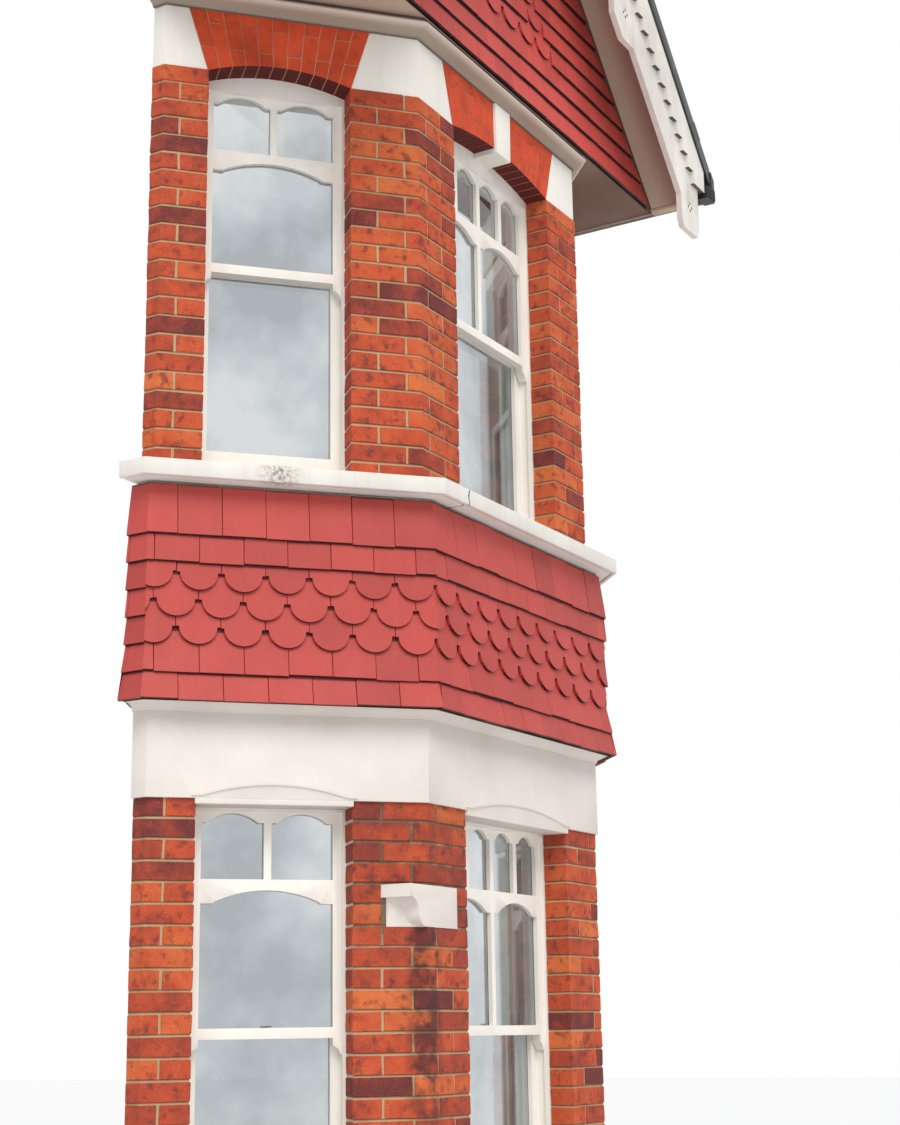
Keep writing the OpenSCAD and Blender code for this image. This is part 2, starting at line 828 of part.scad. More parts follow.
plinth_wall();
sill(ground_sill_z);  // ground_sill
floor_slab(ground_floor_z, ground_floor_t);  // ground_floor
mirror([1, 0, 0]) corner_pier(ground_sill_z, ground_head_z);  // ground_corner_pier_left
corner_pier(ground_sill_z, ground_head_z);  // ground_corner_pier_right
mirror([1, 0, 0]) end_pier(ground_sill_z, ground_head_z);  // ground_end_pier_left
end_pier(ground_sill_z, ground_head_z);  // ground_end_pier_right
front_window(ground_sill_z, ground_win_h, 0);  // ground_window_front
mirror([1, 0, 0]) side_window(ground_sill_z, ground_win_h, 0);  // ground_window_left
side_window(ground_sill_z, ground_win_h, 0);  // ground_window_right
storey_glass(ground_sill_z, ground_win_h);  // ground_glass
spandrel_wall();
storey_band();
band_cove();
corbel_stone();
apron(2, 3);  // apron_tiles_front
apron(0, 2);  // apron_tiles_left
apron(3, 5);  // apron_tiles_right
floor_slab(first_floor_z, first_floor_t);  // first_floor
sill(upper_sill_z);  // upper_sill
mirror([1, 0, 0]) corner_pier(upper_sill_z, spring_z);  // upper_corner_pier_left
corner_pier(upper_sill_z, spring_z);  // upper_corner_pier_right
mirror([1, 0, 0]) end_pier(upper_sill_z, spring_z);  // upper_end_pier_left
end_pier(upper_sill_z, spring_z);  // upper_end_pier_right
front_window(upper_sill_z, upper_win_h, frame_top);  // upper_window_front
mirror([1, 0, 0]) side_window(upper_sill_z, upper_win_h, frame_top);  // upper_window_left
side_window(upper_sill_z, upper_win_h, frame_top);  // upper_window_right
storey_glass(upper_sill_z, upper_win_h);  // upper_glass
front_arch();  // arch_front
mirror([1, 0, 0]) side_arch();  // arch_left
side_arch();  // arch_right
springers();  // springer_stones
key_stone();  // keystone
head_wall();
cornice_moulding();  // cornice
soffit_boards();  // soffit
gable_frame();  // gable_wall
gable_tile_rows();  // gable_tiles
mirror([1, 0, 0]) verge_box();  // verge_soffit_left
verge_box();  // verge_soffit_right
mirror([1, 0, 0]) bargeboard();  // bargeboard_left
bargeboard();  // bargeboard_right
mirror([1, 0, 0]) verge_trim();  // verge_trim_left
verge_trim();  // verge_trim_right
mirror([1, 0, 0]) roof_slope();  // roof_left
roof_slope();  // roof_right
ridge();  // ridge_tiles
fascias();  // eaves_fascias
gutter_runs();  // gutters
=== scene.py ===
import bpy
import contextlib
import math
import random
from bpy.props import FloatProperty, FloatVectorProperty, IntProperty, PointerProperty
from mathutils import Matrix, Vector


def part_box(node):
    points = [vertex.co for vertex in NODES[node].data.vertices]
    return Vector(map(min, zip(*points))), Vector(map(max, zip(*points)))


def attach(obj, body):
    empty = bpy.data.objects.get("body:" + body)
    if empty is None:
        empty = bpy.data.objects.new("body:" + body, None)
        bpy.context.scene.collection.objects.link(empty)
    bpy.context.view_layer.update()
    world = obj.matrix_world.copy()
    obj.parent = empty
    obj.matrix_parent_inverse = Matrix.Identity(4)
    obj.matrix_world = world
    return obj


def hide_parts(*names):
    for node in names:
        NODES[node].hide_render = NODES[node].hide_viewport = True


bl_info = {
    "name": "Brick bay window",
    "version": (1, 0, 0),
    "blender": (4, 5, 0),
    "location": "3D View > Sidebar > Bay",
    "description": "Dresses a two-storey gabled bay with bricks, hung tiles, joinery and roof tiles",
    "category": "Object",
}

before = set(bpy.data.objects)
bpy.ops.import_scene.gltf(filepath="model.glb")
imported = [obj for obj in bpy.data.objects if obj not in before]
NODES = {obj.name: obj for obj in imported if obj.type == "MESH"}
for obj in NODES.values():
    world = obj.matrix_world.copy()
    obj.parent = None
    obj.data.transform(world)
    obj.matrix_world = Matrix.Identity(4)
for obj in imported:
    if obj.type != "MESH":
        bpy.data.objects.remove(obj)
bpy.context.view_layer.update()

# Plan, read from the solids where they show it
WALL_LOW, WALL_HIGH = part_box("plinth_wall")
FACE_Y = WALL_LOW.y
BACK_Y = WALL_HIGH.y
END_X = WALL_HIGH.x
TURN = math.radians(43)
COS = math.cos(TURN)
SIN = math.sin(TURN)
RETURN = 0.060
SIDE_W = (BACK_Y - FACE_Y - RETURN) / SIN
HALF_W = END_X - SIDE_W * COS
PIER_W = 0.280
END_PIER_W = 0.170
END_PIER_START = SIDE_W - END_PIER_W
REVEAL = 0.102
FRONT_OPEN = 2 * HALF_W - 2 * PIER_W
SIDE_OPEN = SIDE_W - PIER_W - END_PIER_W
MITRE = math.tan(TURN / 2)
END_MITRE = math.tan((math.pi / 2 - TURN) / 2)
FRONT_CORNER = Vector((HALF_W, FACE_Y))
END_CORNER = Vector((END_X, BACK_Y - RETURN))
FRONT_MITRE_TURN = TURN / 2
END_MITRE_TURN = (TURN + math.pi / 2) / 2
MIRROR = Matrix.Diagonal((-1, 1, 1, 1))

# Pieces that reach the flat back are cut just short of it
CUT_Y = BACK_Y - 0.0005

# Heights
COURSE = 0.075
GROUND_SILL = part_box("ground_corner_pier_right")[0].z
GROUND_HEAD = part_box("ground_corner_pier_right")[1].z
UPPER_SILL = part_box("upper_corner_pier_right")[0].z
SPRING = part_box("arch_right")[0].z
ARCH_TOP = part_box("arch_right")[1].z
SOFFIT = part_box("soffit")[0].z
CORNICE_H = 0.075
BRACKET_LOW, BRACKET_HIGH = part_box("corbel_stone")

# Roof
PITCH = math.radians(47)
VERGE_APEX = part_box("bargeboard_right")[1].z
DOWN_SLOPE = Vector((math.cos(PITCH), 0, -math.sin(PITCH)))
OFF_SLOPE = Vector((math.sin(PITCH), 0, math.cos(PITCH)))

# Bricks. A slip is a thin brick that only shows its face.
BRICK_LONG = 0.215
BRICK_WIDE = 0.102
CLOSER_W = 0.072
BRICK_WIDTHS = {"header": BRICK_WIDE, "stretcher": BRICK_LONG, "closer": CLOSER_W}
CORNER_LONG = 0.168
CORNER_SHORT = 0.055
BRICK_EDGE = 0.0022
BRICK_BACK = REVEAL - 0.001
SLIP_BACK = 0.030

# Wear on the upper sill
CRACK_X = -0.578
SMUDGE = (-1.222, 0.102, 3.665)

# One seeded source for all that is never quite true
TIDY = random.Random(7)


# Places

def shift(x=0.0, y=0.0, z=0.0):
    return Matrix.Translation((x, y, z))


def on_side(place, side):
    """A place on the right side of the bay, or its mirror image on the left."""
    return place if side == "right" else MIRROR @ place


def run_frame(along_x, along_y, x, y):
    """Local x runs along a wall from a point, y into the wall and z up."""
    return Matrix(((along_x, -along_y, 0, x), (along_y, along_x, 0, y), (0, 0, 1, 0), (0, 0, 0, 1)))


def face_frame(face):
    """The frame of a face. A canted face starts at its front corner."""
    if face == "front":
        return shift(-HALF_W, FACE_Y)
    return on_side(run_frame(COS, SIN, HALF_W, FACE_Y), face)


def corner_frame(side):
    """Local x and y of the front face, with the right corner at the origin."""
    return on_side(shift(HALF_W, FACE_Y), side)


def jitter(amount):
    return TIDY.uniform(-amount, amount)


def scaled(colour, share, more=0.0):
    """A lighter or darker colour."""
    return tuple(min(c * share + more, 1) for c in colour)


# Modelling helpers

def deselect():
    if bpy.context.object and bpy.context.object.mode != "OBJECT":
        bpy.ops.object.mode_set(mode="OBJECT")
    bpy.ops.object.select_all(action="DESELECT")


def only(obj):
    deselect()
    obj.select_set(True)
    bpy.context.view_layer.objects.active = obj


@contextlib.contextmanager
def editing(obj):
    """Edit mode on one piece, with the whole of its mesh selected."""
    only(obj)
    bpy.ops.object.mode_set(mode="EDIT")
    bpy.ops.mesh.select_all(action="SELECT")
    yield
    bpy.ops.object.mode_set(mode="OBJECT")


def prism(name, points, pull, bevel=0.0):
    """A flat outline of points in space, pulled along a vector into a closed block with eased edges."""
    deselect()
    bpy.ops.mesh.primitive_circle_add(vertices=len(points), radius=1, fill_type="NGON")
    obj = bpy.context.object
    obj.name = name
    for vert, point in zip(obj.data.vertices, points):
        vert.co = point
    with editing(obj):
        bpy.ops.mesh.extrude_region_move(TRANSFORM_OT_translate={"value": pull})
        bpy.ops.mesh.select_all(action="SELECT")
        bpy.ops.mesh.normals_make_consistent(inside=False)
        if bevel:
            bpy.ops.mesh.bevel(offset=bevel, offset_pct=0, segments=1, affect="EDGES")
    return obj


def block(name, low, high, bevel):
    """A box between two corners, with eased edges."""
    left, front, base = low
    right, back, top = high
    points = [(left, front, base), (right, front, base), (right, back, base), (left, back, base)]
    return prism(name, points, (0, 0, top - base), bevel)


def lay(name, places):
    """One piece from many copies: each place is a master, a matrix and a tone that its copy keeps."""
    made = []
    for master, matrix, tone in places:
        copy = master.copy()
        copy.data = master.data.copy()
        copy.matrix_world = matrix
        mark = copy.data.attributes.new("tone", "FLOAT", "FACE")
        mark.data.foreach_set("value", [tone] * len(copy.data.polygons))
        bpy.context.collection.objects.link(copy)
        made.append(copy)
    deselect()
    for copy in made:
        copy.select_set(True)
    bpy.context.view_layer.objects.active = made[0]
    bpy.ops.object.join()
    bpy.ops.object.transform_apply(location=True, rotation=True, scale=True)
    obj = bpy.context.object
    obj.name = name
    obj.data.name = name
    with editing(obj):
        bpy.ops.mesh.normals_make_consistent(inside=False)
    return obj


def trim(obj, point, normal):
    """Cuts a piece at a plane, drops what lies on the normal's side and closes the cut."""
    with editing(obj):
        bpy.ops.mesh.bisect(plane_co=point, plane_no=normal, use_fill=True, clear_outer=True)


def trim_at_back(obj):
    trim(obj, (0, CUT_Y, 0), (0, 1, 0))


def trim_mitre(obj, sign, corner, turn, outer):
    """Cuts a piece along the plane where two faces of the bay meet, on its outer or inner side."""
    point = (sign * corner.x, corner.y, 0)
    trim(obj, point, (outer * sign * math.cos(turn), outer * math.sin(turn), 0))


def wander(obj):
    """Shifts the corners of every brick a little, each in its own way."""
    cloud = bpy.data.textures.new("brick_wander", "CLOUDS")
    cloud.noise_scale = 0.035
    cloud.cloud_type = "COLOR"
    push = obj.modifiers.new("Wander", "DISPLACE")
    push.texture = cloud
    push.texture_coords = "LOCAL"
    push.direction = "RGB_TO_XYZ"
    push.strength = 0.007
    push.mid_level = 0.5
    only(obj)
    bpy.ops.object.modifier_apply(modifier=push.name)


def drop(*masters):
    for master in masters:
        bpy.data.objects.remove(master)


def dress(obj, look):
    obj.data.materials.clear()
    obj.data.materials.append(look.material)


def dress_nodes(look, *names):
    for name in names:
        dress(NODES[name], look)


def complete(obj, look, slot, *nodes):
    """Gives a piece its material, sets it on the body and lets it stand for its nodes."""
    dress(obj, look)
    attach(obj, "root")
    if nodes:
        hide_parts(*nodes)
    return obj


def loose_copy(name, suffix, quads):
    """A merged copy of a node that can be reshaped."""
    deselect()
    obj = NODES[name].copy()
    obj.data = NODES[name].data.copy()
    obj.name = name + suffix
    obj.parent = None
    for key in list(obj.keys()):
        del obj[key]
    bpy.context.collection.objects.link(obj)
    with editing(obj):
        bpy.ops.mesh.remove_doubles(threshold=0.00005)
        if quads:
            flat = math.radians(1)
            bpy.ops.mesh.tris_convert_to_quads(face_threshold=flat, shape_threshold=math.pi)
        bpy.ops.mesh.normals_make_consistent(inside=False)
    return obj


def eased(name, width, look, slot, segments=1):
    """A copy of a node with softened edges, which stands for it."""
    obj = loose_copy(name, "_eased", quads=True)
    soft = obj.modifiers.new("Edge", "BEVEL")
    soft.width = width
    soft.segments = segments
    soft.limit_method = "ANGLE"
    soft.angle_limit = math.radians(35)
    soft.use_clamp_overlap = True
    bpy.ops.object.modifier_apply(modifier=soft.name)
    bpy.ops.object.shade_smooth_by_angle(angle=math.radians(30))
    return complete(obj, look, slot, name)


# Material helpers

class Graph:
    """Short calls for the nodes of one shader tree. Most return the socket that their node puts out."""

    def __init__(self, tree):
        self.tree = tree

    def add(self, kind, **values):
        """A node with its options and its unwired inputs set."""
        made = self.tree.nodes.new("ShaderNode" + kind)
        for key, value in values.items():
            if hasattr(made, key):
                setattr(made, key, value)
            else:
                made.inputs[key.replace("_", " ")].default_value = value
        return made

    def feed(self, value, target):
        """Wires a socket to an input, or gives the input a number or a colour."""
        if isinstance(value, bpy.types.NodeSocket):
            self.tree.links.new(value, target)
        else:
            target.default_value = (*value, 1.0) if isinstance(value, tuple) else value

    def place(self):
        return self.add("TexCoord").outputs["Object"]

    def normal(self):
        return self.add("NewGeometry").outputs["Normal"]

    def part(self, vector, axis):
        split = self.add("SeparateXYZ")
        self.feed(vector, split.inputs["Vector"])
        return split.outputs[axis]

    def along(self, axis):
        """Where a point lies along one axis of the object."""
        return self.part(self.place(), axis)

    def attribute(self, name):
        return self.add("Attribute", attribute_name=name).outputs["Fac"]

    def noise(self, scale, detail, roughness=0.5):
        made = self.add("TexNoise", Scale=scale, Detail=detail, Roughness=roughness)
        self.feed(self.place(), made.inputs["Vector"])
        return made.outputs["Fac"]

    def compare(self, what, vector, other):
        """The distance or dot product of a vector and a fixed one."""
        made = self.add("VectorMath", operation=what)
        self.feed(vector, made.inputs[0])
        made.inputs[1].default_value = other
        return made.outputs["Value"]

    def maths(self, what, first, second=None):
        made = self.add("Math", operation=what)
        self.feed(first, made.inputs[0])
        if second is not None:
            self.feed(second, made.inputs[1])
        return made.outputs[0]

    def times(self, first, second):
        return self.maths("MULTIPLY", first, second)

    def plus(self, first, second):
        return self.maths("ADD", first, second)

    def minus(self, first, second):
        return self.maths("SUBTRACT", first, second)

    def over(self, value, limit):
        return self.maths("GREATER_THAN", value, limit)

    def under(self, value, limit):
        return self.maths("LESS_THAN", value, limit)

    def spread(self, value, low, high, to_low=0.0, to_high=1.0):
        """Runs from one value to another between two limits, and stays level outside them."""
        made = self.add("MapRange", From_Min=low, From_Max=high, To_Min=to_low, To_Max=to_high)
        self.feed(value, made.inputs["Value"])
        return made.outputs["Result"]

    def fade(self, value, low, high):
        """One up to the low limit, and nought from the high one."""
        return self.spread(value, low, high, 1.0, 0.0)

    def ramp(self, value, stops):
        made = self.add("ValToRGB")
        points = made.color_ramp.elements
        while len(points) < len(stops):
            points.new(0.5)
        for point, (at, colour) in zip(points, stops):
            point.position = at
            point.color = (*colour, 1.0)
        self.feed(value, made.inputs["Fac"])
        return made.outputs["Color"]

    def mix(self, share, first, second):
        made = self.add("Mix", data_type="RGBA")
        for value, socket in ((share, 0), (first, 6), (second, 7)):
            self.feed(value, made.inputs[socket])
        return made.outputs[2]


class Finish(Graph):
    """A material: its surface shader, the weathering masks, and a base colour laid coat by coat."""

    def __init__(self, name, roughness, **sizes):
        self.material = bpy.data.materials.new(name)
        self.material.use_nodes = True
        super().__init__(self.material.node_tree)
        self.shader = self.tree.nodes["Principled BSDF"].inputs
        self.shader["Roughness"].default_value = roughness
        self.shader["Specular IOR Level"].default_value = 0.35
        wear = self.add("Group", node_tree=weathering(), **sizes).outputs
        self.blotch = wear["Blotch"]
        self.grain = wear["Grain"]
        self.streak = wear["Streak"]

    def paint(self, colour):
        self.colour = colour
        self.feed(colour, self.shader["Base Color"])

    def coat(self, share, colour):
        """Lays a colour over what is there, by a share or a mask."""
        self.paint(self.mix(share, self.colour, colour))

    def gloss(self, mask, low, high):
        """Lets the roughness follow a mask."""
        self.feed(self.spread(mask, 0.0, 1.0, low, high), self.shader["Roughness"])

    def relief(self, height, strength, distance):
        bump = self.add("Bump", Strength=strength, Distance=distance)
        self.feed(height, bump.inputs["Height"])
        self.feed(bump.outputs["Normal"], self.shader["Normal"])


def new_group(name, sizes, masks):
    """A node group that takes sizes and puts out masks."""
    tree = bpy.data.node_groups.new(name, "ShaderNodeTree")
    for size, value in sizes.items():
        socket = tree.interface.new_socket(size, in_out="INPUT", socket_type="NodeSocketFloat")
        socket.default_value = value
    for mask in masks:
        tree.interface.new_socket(mask, in_out="OUTPUT", socket_type="NodeSocketFloat")
    return Graph(tree), tree.nodes.new("NodeGroupOutput").inputs


def weathering():
    """Soft blotches, fine grain and rain streaks over the object, for every weathered finish."""
    if "Weathering" in bpy.data.node_groups:
        return bpy.data.node_groups["Weathering"]
    sizes = {"Blotch Size": 2.0, "Grain Size": 60.0, "Streak Size": 14.0}
    graph, leave = new_group("Weathering", sizes, ("Blotch", "Grain", "Streak"))
    enter = graph.tree.nodes.new("NodeGroupInput")
    drawn_out = graph.add("Mapping", Scale=(1.0, 1.0, 0.08))
    graph.feed(graph.place(), drawn_out.inputs["Vector"])
    for mask, place, detail, roughness, low, high in (
            ("Blotch", graph.place(), 6.0, 0.6, 0.35, 0.65),
            ("Grain", graph.place(), 4.0, 0.7, 0.3, 0.7),
            ("Streak", drawn_out.outputs["Vector"], 5.0, 0.65, 0.45, 0.75)):
        noise = graph.add("TexNoise", Detail=detail, Roughness=roughness)
        graph.feed(place, noise.inputs["Vector"])
        graph.feed(enter.outputs[mask + " Size"], noise.inputs["Scale"])
        graph.feed(graph.spread(noise.outputs["Fac"], low, high), leave[mask])
    return graph.tree


def bracket_soot():
    """Soot down the corner under the bracket, and on the wall beside it, in metres from its foot."""
    if "Bracket Soot" in bpy.data.node_groups:
        return bpy.data.node_groups["Bracket Soot"]
    graph, leave = new_group("Bracket Soot", {}, ("Corner", "Around"))
    across = graph.plus(graph.along("X"), HALF_W)
    inward = graph.minus(graph.along("Y"), FACE_Y)
    away = graph.maths("SQRT", graph.plus(graph.times(across, across), graph.times(inward, inward)))
    height = graph.along("Z")
    patch = graph.noise(13.0, 5.0, 0.6)
    foot = BRACKET_LOW.z
    above_end = graph.spread(height, foot - 0.95, foot - 0.5)
    below = graph.times(above_end, graph.fade(height, foot, foot + 0.02))
    strip = graph.times(graph.fade(away, 0.045, 0.10), below)
    graph.feed(graph.times(strip, graph.spread(patch, 0.32, 0.55)), leave["Corner"])
    lower_storey = graph.fade(height, GROUND_HEAD, GROUND_HEAD + 0.05)
    level = graph.times(graph.spread(height, foot - 0.15, foot), lower_storey)
    beside = graph.times(level, graph.fade(away, 0.30, 0.75))
    graph.feed(graph.times(beside, graph.spread(patch, 0.30, 0.5)), leave["Around"])
    return graph.tree


def sooty(look, soot, corner_share, around_share, all_share):
    """Lays soot over a finish: near the bracket, and in loose patches everywhere."""
    masks = look.add("Group", node_tree=bracket_soot()).outputs
    share = look.spread(look.noise(5.5, 7.0, 0.7), 0.52, 0.72, 0.0, all_share)
    share = look.maths("MAXIMUM", share, look.times(masks["Corner"], corner_share))
    share = look.maths("MAXIMUM", share, look.times(masks["Around"], around_share))
    look.coat(share, soot)


def darken_undersides(look, colour, where=None):
    """Faces that look down get a dark colour. On tiles and bargeboards this is painted shade along with
    real dirt and algae; on the arches it is the soffit's own darker colour.
    """
    under = look.fade(look.part(look.normal(), "Z"), -0.75, -0.45)
    if where:
        under = look.times(under, where)
    look.coat(under, colour)


def paint_shading_along(look, axis, share, stops):
    """Painted light and shade: the finish changes colour along one axis of the object, from stop to stop.
    """
    low, high = stops[0][0], stops[-1][0]
    along = look.spread(look.along(axis), low, high)
    look.coat(share, look.ramp(along, [((at - low) / (high - low), colour) for at, colour in stops]))


def brick_finish(name, stops, burnt, speck):
    """Clay with its own tone for each brick, burnt patches, dark specks and a sanded face."""
    look = Finish(name, 0.86, Blotch_Size=9.0, Grain_Size=160.0)
    tone = look.plus(look.attribute("tone"), look.times(look.minus(look.blotch, 0.5), 0.35))
    look.paint(look.ramp(tone, stops))
    look.coat(look.spread(look.noise(26.0, 3.0), 0.53, 0.70, 0.0, burnt), (0.14, 0.030, 0.027))
    pits = look.add("TexVoronoi", Scale=95.0)
    look.feed(look.place(), pits.inputs["Vector"])
    hole = look.spread(pits.outputs["Distance"], 0.10, 0.22, speck, 0.0)
    look.coat(hole, (0.07, 0.02, 0.015))
    look.coat(look.spread(look.grain, 0.7, 1.0, 0.0, 0.30), (0.62, 0.36, 0.26))
    look.relief(look.minus(look.grain, look.times(hole, 1.5)), 0.45, 0.002)
    return look


def plain_finish(name, base, dirt, dirty, roughness, grainy=0.1, streaky=0.3, relief=0.001):
    """A base colour with blotches of dirt, rain streaks and a fine grain."""
    look = Finish(name, roughness, Blotch_Size=3.0, Grain_Size=120.0)
    look.paint(base)
    look.coat(look.times(look.blotch, dirty), dirt)
    look.coat(look.times(look.streak, streaky), dirt)
    look.coat(look.times(look.grain, grainy), scaled(base, 0.8))
    look.gloss(look.blotch, roughness - 0.08, min(1.0, roughness + 0.1))
    look.relief(look.grain, 0.25, relief)
    return look


# Bricks

class BayBrickSettings(bpy.types.PropertyGroup):
    joint: FloatProperty(
        name="Joint", description="Width of the mortar joints", default=0.010, unit="LENGTH")
    proud: FloatProperty(
        name="Proud", description="How far brick faces stand out from the mortar",
        default=0.0042, unit="LENGTH")
    light: FloatVectorProperty(
        name="Light clay", description="Colour of the lightest bricks",
        default=(0.64, 0.15, 0.042), size=3, subtype="COLOR")
    middle: FloatVectorProperty(
        name="Clay", description="Colour of most bricks",
        default=(0.53, 0.078, 0.027), size=3, subtype="COLOR")
    dark: FloatVectorProperty(
        name="Dark clay", description="Colour of the darkest bricks",
        default=(0.15, 0.028, 0.027), size=3, subtype="COLOR")
    mortar: FloatVectorProperty(
        name="Mortar", description="Colour of the mortar",
        default=(0.56, 0.37, 0.20), size=3, subtype="COLOR")


def brick_tone(deeper=0.0):
    """Most bricks are near the middle, a few light and a few dark."""
    pick = TIDY.random()
    if pick < 0.14:
        return TIDY.uniform(0.0, 0.2)
    if pick < 0.26:
        return TIDY.uniform(0.7, 1.0)
    return TIDY.uniform(0.22, 0.58) + deeper


def nudge(turn=0.004):
    """A brick is never laid quite true."""
    skew = Matrix.Rotation(jitter(turn), 4, "Z") @ Matrix.Rotation(jitter(turn), 4, "Y")
    return shift(jitter(0.0007), jitter(0.0009), jitter(0.0008)) @ skew


def outline_brick(name, points, high):
    return prism(name, [(x, y, 0) for x, y in points], (0, 0, high), BRICK_EDGE)


def corner_brick(name, front, side, proud, high):
    """A brick that turns from the front face to the canted face."""
    end = Vector((COS, SIN)) * side
    out = Vector((SIN, -COS))
    outer = end + out * proud
    inner = end - out * SLIP_BACK
    return outline_brick(name, [
        (-front, -proud), (proud * MITRE, -proud), tuple(outer), tuple(inner),
        (-SLIP_BACK * MITRE, SLIP_BACK), (-front, SLIP_BACK)], high)


def end_brick(name, start, proud, high):
    """A brick that turns from a canted face to the short return behind it."""
    out = Vector((COS, -SIN))
    outer = Vector((SIDE_W, 0)) + Vector((SIN, COS)) * RETURN + out * proud
    deep, short = 0.06, 0.05
    inner = outer - out * deep
    return outline_brick(name, [
        (start, -proud), (SIDE_W + proud * END_MITRE, -proud), tuple(outer), tuple(inner),
        (SIDE_W - short, BRICK_BACK), (start, BRICK_BACK)], high)


def brick_masters(gap, out):
    """One brick of each kind. Some are slips, and the others reach as far back as the reveal."""
    high = COURSE - gap
    sizes = {
        "header": (BRICK_WIDE + out, BRICK_BACK), "stretcher": (BRICK_LONG + out, BRICK_BACK),
        "closer": (CLOSER_W + out, BRICK_BACK), "header_slip": (BRICK_WIDE, SLIP_BACK),
        "stretcher_slip": (BRICK_LONG, SLIP_BACK)}
    kinds = {name: block(name, (0, -out, 0), (*size, high), BRICK_EDGE) for name, size in sizes.items()}
    kinds["front_long"] = corner_brick("front_long", CORNER_LONG, CORNER_SHORT, out, high)
    kinds["side_long"] = corner_brick("side_long", CORNER_SHORT, CORNER_LONG, out, high)
    kinds["end_whole"] = end_brick("end_whole", END_PIER_START - out, out, high)
    kinds["end_part"] = end_brick("end_part", END_PIER_START + BRICK_WIDE + gap, out, high)
    return kinds


def brick_run(low, far, gap, header_first):
    """Headers and stretchers by turns, eased in width so that they fill a run."""
    row = []
    s = 0.0
    smallest = 0.06
    is_header = header_first
    while s < far - low - smallest:
        width = BRICK_WIDE if is_header else BRICK_LONG
        row.append((s, width, is_header))
        s += width + gap
        is_header = not is_header
    share = (far - low) / (s - gap)
    return [(low + s * share, share, is_header) for s, width, is_header in row]


def plaster_inside(look, plaster, clay):
    """The inner faces are plaster, the flat back shows courses of brick, and a painted shadow darkens the
    top of each bed joint under the brick above.
    """
    z = look.along("Z")
    base = look.times(look.over(z, UPPER_SILL), UPPER_SILL)
    height = look.maths("FRACT", look.maths("DIVIDE", look.minus(z, base), COURSE))
    # Painted shadow at the top of each bed joint, under the brick above.
    joint_shadow = look.times(look.spread(height, 0.045, 0.12, 0.0, 0.75), look.under(height, 0.145))
    look.coat(joint_shadow, (0.09, 0.045, 0.03))
    section = look.mix(look.over(height, 0.12), look.colour, clay)
    room = 0.0
    for inward in ((0, 1, 0), (-SIN, COS, 0), (SIN, COS, 0)):
        room = look.maths("MAXIMUM", room, look.compare("DOT_PRODUCT", look.normal(), inward))
    look.coat(look.over(room, 0.9), plaster)
    look.coat(look.over(look.along("Y"), BACK_Y - 0.002), section)


